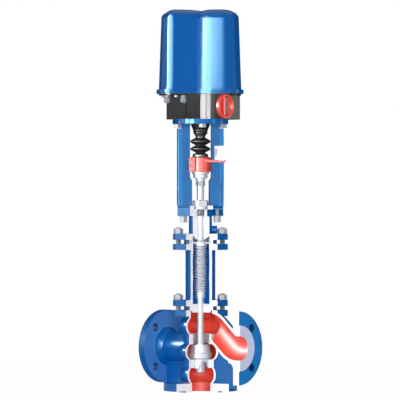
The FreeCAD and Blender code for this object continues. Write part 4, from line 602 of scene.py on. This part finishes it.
dressed("gear_housing", plain, [CASE_BLACK], bevel=0.7)
dressed("stroke_scale", scale_face, [SCALE_WHITE, SCALE_GREY], bevel=0.25)
for finish, labels in ((STEEL, ("packing_washer", "valve_plug", "valve_stem", "bellows_end_ring",
                                "actuator_spindle", "nut_bearings", "handwheel_shaft", "crank_pin")),
                       (STEEL_DARK, ("plug_pin", "bearing_bridge", "mounting_plate")),
                       (ZINC, ("clamp_screws", "cover_screws")),
                       (SEAL_BLACK, ("cover_gasket",)),
                       (BRASS, ("spindle_nut", "motor_pinion")),
                       (MOTOR_STEEL, ("drive_motor",)),
                       (BOARD, ("circuit_board",)),
                       (GREY_PLASTIC, ("terminal_strip", "limit_switches", "switch_cam")),
                       (BLUE_HOOD, ("actuator_cover",))):
    for label in labels:
        paint(label, finish)


# Nuts and studs of the square flanges

STUD_SPOTS = ((35, 35), (-35, 35), (-35, -35))
NUT_WIDTH = 19
NUT_HEIGHT = 12
NUT_BORE = 12.1

for label, seat in (("lower", 206.0), ("upper", 354.2)):
    form = bmesh.new()
    for x, y in STUD_SPOTS:
        hexagon(form, NUT_WIDTH, NUT_HEIGHT, NUT_BORE, at(x, y, seat))
    piece_of(label + "_nut_set", form, 25, ZINC, "frame", label + "_nuts")

for label, low, high in (("lower", 170.0, 220.5), ("upper", 318.2, 368.7)):
    form = bmesh.new()
    for x, y in STUD_SPOTS:
        stud(form, x, y, low, high, 6.0, 1.75)
    piece_of(label + "_stud_set", form, 50, STEEL_DARK, "frame", label + "_studs")


# Screws of the yoke, heads down

HEAD_WIDTH = 16
SHANK_OVERLAP = 0.8


def screw(form, x, y, head, height, washer, seat, tip, radius, pitch):
    """A hexagon head of a height, a washer face (radius, base) up to the seat, and a thread up to the tip."""
    across, base = washer
    hexagon(form, HEAD_WIDTH, height, 0, TO_YOKE @ at(x, y, head))
    revolve(form, [(0, base), (across, base), (across, seat), (0, seat)], 36, TO_YOKE @ at(x, y, 0))
    stud(form, x, y, seat - SHANK_OVERLAP, tip, radius, pitch, TO_YOKE)


form = bmesh.new()
for x in (38, -38):
    screw(form, x, 0, 380.2, 12.6, (7.7, 392.6), 394.2, 430.2, 4.5, 1.25)
piece_of("foot_bolt_set", form, 30, ZINC, "frame", "yoke_foot_bolts")

form = bmesh.new()
for x, y, tip in ((51, 0, 614.7), (0, 51, 610.5), (-51, 0, 614.7), (0, -51, 610.5)):
    screw(form, x, y, 591.7, 7.3, (7.8, 598.9), 600.2, tip, 5.0, 1.5)
piece_of("head_screw_set", form, 30, ZINC, "frame", "yoke_top_screws")


# Gland nut, lock nut and coupling

form = bmesh.new()
thread(form, 11.4, 2.0, 14.6, at(0, 0, 394.4), depth=1.3, steps=72)
piece_of("gland_nut_thread", form, 28, STEEL_DARK, "frame", "gland_nut")

form = bmesh.new()
revolve(form, rounded([(8.5, 408.6), (11.2, 408.6), (11.2, 409.2), (16.5, 409.2), (16.5, 415.7), (8.5, 415.7)],
                      0.9))
hexagon(form, 33, 14, 17, at(0, 0, 415.7, math.radians(30)), chamfer=0.95, lower=False, per_side=10)
piece_of("gland_nut_turned", form, 28, STEEL, "frame", "gland_nut")

form = bmesh.new()
hexagon(form, 18, 10.5, 16.1, at(0, 0, 461.2, math.radians(12)), per_side=8)
piece_of("lock_nut_cut", form, 25, ZINC, "stem", "lock_nut")

form = bmesh.new()
revolve(form, rounded([(6.1, 471.7), (10.6, 471.7), (10.6, 479.2), (16.0, 479.2), (16.0, 487.0), (15.2, 487.4),
                       (15.2, 488.2), (19.0, 488.2), (19.0, 493.2), (6.1, 493.2)], 0.8))
piece_of("coupling_turned", form, 40, STEEL, "stem", "stem_coupling")


# Cable glands: hexagon under the rim, ribbed dome and sealing insert

GLAND_SPOTS = (-78, -41.4)
GLAND_DEPTH = -32.3
GLAND_DOME = [(3.0, 646.4), (4.8, 646.2), (6.4, 648.6), (6.8, 651.2), (6.8, 656.4), (5.8, 657.4), (3.0, 657.4)]
GLAND_RIBS = 12
GLAND_RIB = [(0, 649.6), (0.5, 650.1), (0.5, 656.3), (0, 656.5)]
GLAND_RIB_REACH = 6.7
GLAND_INSERT = [(3.0, 648), (4.8, 648), (4.8, 667), (3.0, 667)]
GLAND_HEX_BASE = 657.3

form = bmesh.new()
for x in GLAND_SPOTS:
    spot = TO_YOKE @ at(x, GLAND_DEPTH, 0)
    hexagon(form, 14.0, 6.4, 0, TO_YOKE @ at(x, GLAND_DEPTH, GLAND_HEX_BASE, math.radians(15)), chamfer=0.95)
    revolve(form, rounded(GLAND_DOME, 0.8), 48, spot)
    for k in range(GLAND_RIBS):
        a = 2 * math.pi * k / GLAND_RIBS
        revolve(form, GLAND_RIB, 8, spot @ at(GLAND_RIB_REACH * math.cos(a), GLAND_RIB_REACH * math.sin(a), 0))
    revolve(form, GLAND_INSERT, 40, spot)
piece_of("gland_pair", form, 32, NICKEL, "frame", "cable_glands")


# Collar of the boot, with ribs and a groove

COLLAR = [(8.6, 577.2), (14.2, 577.2), (16.0, 579.2), (16.0, 581.4), (15.2, 581.8), (15.2, 582.6), (16.2, 583.2),
          (16.8, 587.2), (16.2, 587.8), (17.4, 588.6), (21.6, 599.0), (21.6, 600.2), (8.6, 600.2)]
RIB_SECTION = ((15.6, 587.2), (16.9, 587.2), (21.2, 598.4), (19.0, 598.4))
RIB_FACES = ((0, 2, 3, 1), (2, 4, 5, 3), (4, 6, 7, 5), (6, 0, 1, 7), (0, 6, 4, 2), (1, 3, 5, 7))
RIB_HALF_WIDTH = 1.1
RIBS = 8

form = bmesh.new()
revolve(form, rounded(COLLAR, 0.5, 3))
for k in range(RIBS):
    spoke = at(0, 0, 0, 2 * math.pi * (k + 0.4) / RIBS)
    corners = [point(form, x, y, z, spoke) for x, z in RIB_SECTION for y in (-RIB_HALF_WIDTH, RIB_HALF_WIDTH)]
    for face in RIB_FACES:
        form.faces.new([corners[i] for i in face])
piece_of("collar_ring", form, 35, RING_BLACK, "frame", "boot_collar")


# Marks of the stroke scale

MARKS = 6
MARK_SPAN = (31.2, 36.2)
MARK_BASE = 527.6
MARK_STEP = 2.9
MARK_HEIGHT = 1.7
MARK_FRONT = -17.2
MARK_THICKNESS = 0.12
PLATE_FACES = ((0, 1, 3, 2), (4, 6, 7, 5), (0, 4, 5, 1), (2, 3, 7, 6), (0, 2, 6, 4), (1, 5, 7, 3))

form = bmesh.new()
for k in range(MARKS):
    base = MARK_BASE + MARK_STEP * k
    corners = [point(form, x, y, z, TO_YOKE) for x in MARK_SPAN for y in (MARK_FRONT, MARK_FRONT - MARK_THICKNESS)
               for z in (base, base + MARK_HEIGHT)]
    for face in PLATE_FACES:
        form.faces.new([corners[i] for i in face])
piece_of("scale_marks", form, 35, MARK_BLACK, "frame")


# Ridges beside the grip of the handwheel, and the knob of its crank

WHEEL_FACE = 76.7
WHEEL_HEIGHT = 639.2
RIDGE_LENGTH = 44.0
RIDGE_CURVE = 23.2
RIDGE_STEPS = 12

form = bmesh.new()
for side, inset, height in ((-1, 7.4, 2.2), (1, 5.2, 3.4)):
    rows = []
    for k in range(RIDGE_STEPS + 1):
        z = RIDGE_LENGTH * (k / RIDGE_STEPS - 0.5)
        reach = height * math.sqrt(max(0.0, 1 - (z / RIDGE_CURVE) ** 2))
        section = ((0, -0.9), (reach * 0.8, -0.8), (reach, 0.0), (reach, 0.8), (reach * 0.7, 1.8), (0, 2.4))
        rows.append([point(form, WHEEL_FACE + x, side * (inset + y), WHEEL_HEIGHT + z) for x, y in section])
    for low, high in zip(rows, rows[1:]):
        band(form, low, high, closed=False)
    form.faces.new(rows[0])
    form.faces.new(rows[-1])
piece_of("wheel_grip", form, 40, RED_PLASTIC, "wheel")

KNOB = Matrix.Translation(Vector((76.4, 0, 654.7)) * MM) @ Matrix.Rotation(math.radians(90), 4, "Y")
form = bmesh.new()
revolve(form, [(0, -0.6), (2.9, -0.6), (2.9, 0.25), (2.5, 0.35), (1.9, 0.35), (0, 0.35)], 40, KNOB)
piece_of("knob_ring", form, 35, MARK_BLACK, "crank")
# The white dot in the black ring of the crank knob is a painted highlight on its pin.
form = bmesh.new()
revolve(form, [(0, -0.2), (1.8, -0.2), (1.8, 0.3), (1.3, 0.44), (0.7, 0.49), (0, 0.5)], 40, KNOB)
piece_of("knob_painted_highlight", form, 60, SCALE_WHITE, "crank")


# Bellows

BELLOWS_SPAN = (224.2, 326.6)
BELLOWS_BORE = 9.4
BELLOWS_MIDDLE = 12.5
BELLOWS_SWELL = 2.0
BELLOWS_FULLNESS = 0.6
FOLDS = 17
FOLD_STEPS = 12


def bellows_profile():
    """Round-backed folds from the lower ring to the upper one."""
    low, high = BELLOWS_SPAN
    points = [(BELLOWS_BORE, high), (BELLOWS_BORE, low)]
    for k in range(FOLDS * FOLD_STEPS + 1):
        wave = math.cos(2 * math.pi * k / FOLD_STEPS)
        swell = math.copysign(abs(wave) ** BELLOWS_FULLNESS, wave)
        points.append((BELLOWS_MIDDLE - BELLOWS_SWELL * swell, low + (high - low) / FOLDS * k / FOLD_STEPS))
    return points


form = bmesh.new()
revolve(form, bellows_profile(), 72)
bellows = piece_of("bellows_skin", form, 60, STEEL, None, "bellows", slot="bright_steel")
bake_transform(bellows)


# Boot

BOOT_WAIST = 11.0
BOOT_REACH = 23.2
BOOT_FOLDS = ((536.6, 552.2), (552.8, 569.6))
BOOT_STEPS = 12
BOOT_FULLNESS = 1.6
BOOT_CUFF = ((8.6, 526.2), (17.4, 526.2), (17.6, 527.0), (17.6, 531.2), (16.6, 532.6), (13.0, 534.2),
             (10.6, 536.0))
BOOT_NECK = ((10.9, 571.6), (11.8, 574.4), (13.4, 577.2), (8.6, 577.2))


def boot_profile():
    """Cuff, two round folds and a waist, from the cuff on the clamp up to the ring."""
    points = list(BOOT_CUFF)
    for low, high in BOOT_FOLDS:
        for k in range(BOOT_STEPS + 1):
            rise = 2 * k / BOOT_STEPS - 1
            swell = 1 - abs(rise) ** BOOT_FULLNESS
            points.append((BOOT_WAIST + (BOOT_REACH - BOOT_WAIST) * swell,
                           (low + high + (high - low) * rise) / 2))
    return points + list(BOOT_NECK)


form = bmesh.new()
revolve(form, rounded(boot_profile(), 0.5, 2))
boot = piece_of("folded_boot", form, 50, RUBBER, None, "rubber_boot", slot="boot_rubber")
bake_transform(boot)


# Floor and background

FLOOR_RADIUS = 1.6
FLOOR_GLOW = 0.98
ROOM_LEVEL = 0.26


def glowing(name, level, shade=(1, 1, 1, 1)):
    """A material of one plain glow, with its nodes and links for more."""
    made = bpy.data.materials.new(name)
    made.use_nodes = True
    nodes, links = made.node_tree.nodes, made.node_tree.links
    glow = nodes.new("ShaderNodeEmission")
    glow.inputs["Color"].default_value = shade
    glow.inputs["Strength"].default_value = level
    links.new(glow.outputs["Emission"], nodes["Material Output"].inputs["Surface"])
    return made, nodes, links, glow


def stage_material():
    """Pale floor that shows as white to the camera and keeps a soft shadow."""
    made, nodes, links, glow = glowing("pale_floor", 1.0)
    shader = nodes["Principled BSDF"]
    shader.inputs["Base Color"].default_value = (0.92, 0.92, 0.93, 1)
    shader.inputs["Roughness"].default_value = 0.9
    path = nodes.new("ShaderNodeLightPath")
    share = nodes.new("ShaderNodeMath")
    share.operation = "MULTIPLY"
    share.inputs[1].default_value = FLOOR_GLOW
    links.new(path.outputs["Is Camera Ray"], share.inputs[0])
    both = nodes.new("ShaderNodeMixShader")
    links.new(share.outputs[0], both.inputs["Fac"])
    links.new(shader.outputs["BSDF"], both.inputs[1])
    links.new(glow.outputs["Emission"], both.inputs[2])
    links.new(both.outputs["Shader"], nodes["Material Output"].inputs["Surface"])
    return made


def stage_piece(name, form, finish):
    """A bmesh that belongs to the stage and not to the object."""
    mesh = bpy.data.meshes.new(name)
    form.to_mesh(mesh)
    form.free()
    mesh.materials.append(finish)
    piece = bpy.data.objects.new(name, mesh)
    SCENE.collection.objects.link(piece)
    piece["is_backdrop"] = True
    return piece


form = bmesh.new()
bmesh.ops.create_circle(form, cap_ends=True, segments=96, radius=FLOOR_RADIUS)
stage_piece("floor", form, stage_material())


def larger(tree, first, second):
    """The larger of two values of a node tree."""
    made = tree.nodes.new("ShaderNodeMath")
    made.operation = "MAXIMUM"
    tree.links.new(first, made.inputs[0])
    tree.links.new(second, made.inputs[1])
    return made.outputs[0]


world = bpy.data.worlds.new("studio")
SCENE.world = world
world.use_nodes = True
tree = world.node_tree
background = tree.nodes["Background"]
background.inputs["Color"].default_value = (1, 1, 1, 1)
path = tree.nodes.new("ShaderNodeLightPath")
seen = larger(tree, path.outputs["Is Camera Ray"], path.outputs["Is Glossy Ray"])
seen = larger(tree, seen, path.outputs["Is Transmission Ray"])
level = tree.nodes.new("ShaderNodeMapRange")
level.inputs["To Min"].default_value = ROOM_LEVEL
level.inputs["To Max"].default_value = 1.0
tree.links.new(seen, level.inputs["Value"])
tree.links.new(level.outputs["Result"], background.inputs["Strength"])


# Lamps: the fills give the level, and the shines, which only reflections see, draw the highlights

VIEW = Vector((0.6428, -0.7660, 0.0))
SIDE = Vector((0.7660, 0.6428, 0.0))
HIGHEST_TARGET = 0.75
ROW_DISTANCE = 2.65
HOOD_HEIGHT = 0.46
LOW = 0.1
CASE = 0.70
HOOD = 1.14


def lamp(name, azimuth, distance, width, height, power, up, diffuse=True, glossy=True):
    """A rectangular lamp at an azimuth in degrees to the right of the camera, seen from the object."""
    a = math.radians(azimuth)
    data = bpy.data.lights.new(name, "AREA")
    data.shape = "RECTANGLE"
    data.size = width
    data.size_y = height
    data.energy = power
    holder = bpy.data.objects.new(name, data)
    holder.location = (SIDE * math.sin(a) + VIEW * math.cos(a)) * distance + Vector((0, 0, up))
    target = Vector((0, 0, min(up, HIGHEST_TARGET)))
    holder.rotation_mode = "QUATERNION"
    holder.rotation_quaternion = (target - holder.location).to_track_quat("-Z", "Y")
    holder.visible_diffuse = diffuse
    holder.visible_glossy = glossy
    holder.visible_camera = False
    SCENE.collection.objects.link(holder)


def shine(name, azimuth, distance, width, height, power, up):
    """A lamp that only reflections see."""
    lamp(name, azimuth, distance, width, height, power, up, diffuse=False)


def fill(name, azimuth, distance, width, height, power, up):
    """A lamp that lights the surfaces and shows in no reflection."""
    lamp(name, azimuth, distance, width, height, power, up, glossy=False)


fill("front_fill", 4, 3.2, 1.6, 2.4, 47, 0.5)
fill("low_fill", 6, 2.8, 1.2, 0.5, 14, LOW)
fill("key_left", -48, 2.8, 1.0, 2.0, 4, 1.1)
for azimuth, power in ((-85, 150), (-61, 118), (-38, 90), (-16, 66), (5, 44)):
    shine(f"hood_shine_{azimuth + 90}", azimuth, ROW_DISTANCE, 1.04, HOOD_HEIGHT, power, HOOD)
for azimuth, width, power in ((20, 0.4, 14), (28, 0.35, 7), (35, 0.3, 2.5)):
    shine(f"hood_fade_{azimuth + 90}", azimuth, ROW_DISTANCE, width, HOOD_HEIGHT, power, HOOD)
for azimuth, power in ((-84, 62), (-60, 62), (-36, 44)):
    shine(f"case_shine_{azimuth + 90}", azimuth, ROW_DISTANCE, 1.0, 0.2, power, CASE)
shine("column_shine", -36, 2.7, 0.35, 0.28, 24, 0.53)
shine("low_half_left", -40, 2.7, 0.4, 0.6, 50, 0.05)
shine("low_right", 56, 2.7, 0.25, 0.9, 18, 0.22)
shine("low_quarter_left", -24, 3.0, 0.6, 0.5, 18, LOW)
shine("low_quarter_right", 28, 3.0, 0.6, 0.5, 18, LOW)
shine("low_front", 2, 3.0, 1.6, 0.5, 34, LOW)
shine("clamp_shine", -13, 2.9, 0.4, 0.26, 4, 0.55)
shine("wheel_shine", 100, 2.4, 0.5, 0.16, 1.8, 0.69)
shine("crown_shine", -60, 1.9, 0.8, 0.5, 50, 2.1)
lamp("top", 0, 0.6, 1.2, 1.2, 6, 2.3)
fill("back_fill_left", -142, 3.0, 1.4, 2.2, 22, 0.6)
fill("back_fill_right", 142, 3.0, 1.4, 2.2, 22, 0.6)


# A wide curved sheet behind the object that only reflections see, so that edges read dark

SHEET_RADIUS = 3400
SHEET_HEIGHTS = (-20, 3200)
SHEET_START = 97
SHEET_SPAN = 166
SHEET_STEPS = 24
SHEET_SHADE = (0.03, 0.05, 0.09, 1)

form = bmesh.new()
rows = []
for z in SHEET_HEIGHTS:
    around = (math.radians(SHEET_START + SHEET_SPAN * k / SHEET_STEPS) for k in range(SHEET_STEPS + 1))
    spots = (SIDE * (SHEET_RADIUS * math.sin(a)) + VIEW * (SHEET_RADIUS * math.cos(a)) for a in around)
    rows.append([point(form, spot.x, spot.y, z) for spot in spots])
band(form, *rows, closed=False)
sheet = stage_piece("backdrop", form, glowing("backdrop_grey", 1.0, SHEET_SHADE)[0])
for kind in ("camera", "diffuse", "transmission", "volume_scatter", "shadow"):
    setattr(sheet, "visible_" + kind, False)


# Camera

DISTANCE = 8.0
CENTRE = SIDE * -0.0009 + Vector((0, 0, 0.430))
HALF_PICTURE = 0.4485
SENSOR = 36

camera_data = bpy.data.cameras.new("camera")
camera = bpy.data.objects.new("camera", camera_data)
SCENE.collection.objects.link(camera)
camera.location = CENTRE + VIEW * DISTANCE
camera.rotation_mode = "QUATERNION"
camera.rotation_quaternion = (-VIEW).to_track_quat("-Z", "Y")
camera_data.sensor_width = SENSOR
camera_data.lens = SENSOR / 2 / (HALF_PICTURE / DISTANCE)
camera_data.clip_end = 50
SCENE.camera = camera
SCENE.view_settings.view_transform = "Standard"

low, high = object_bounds()
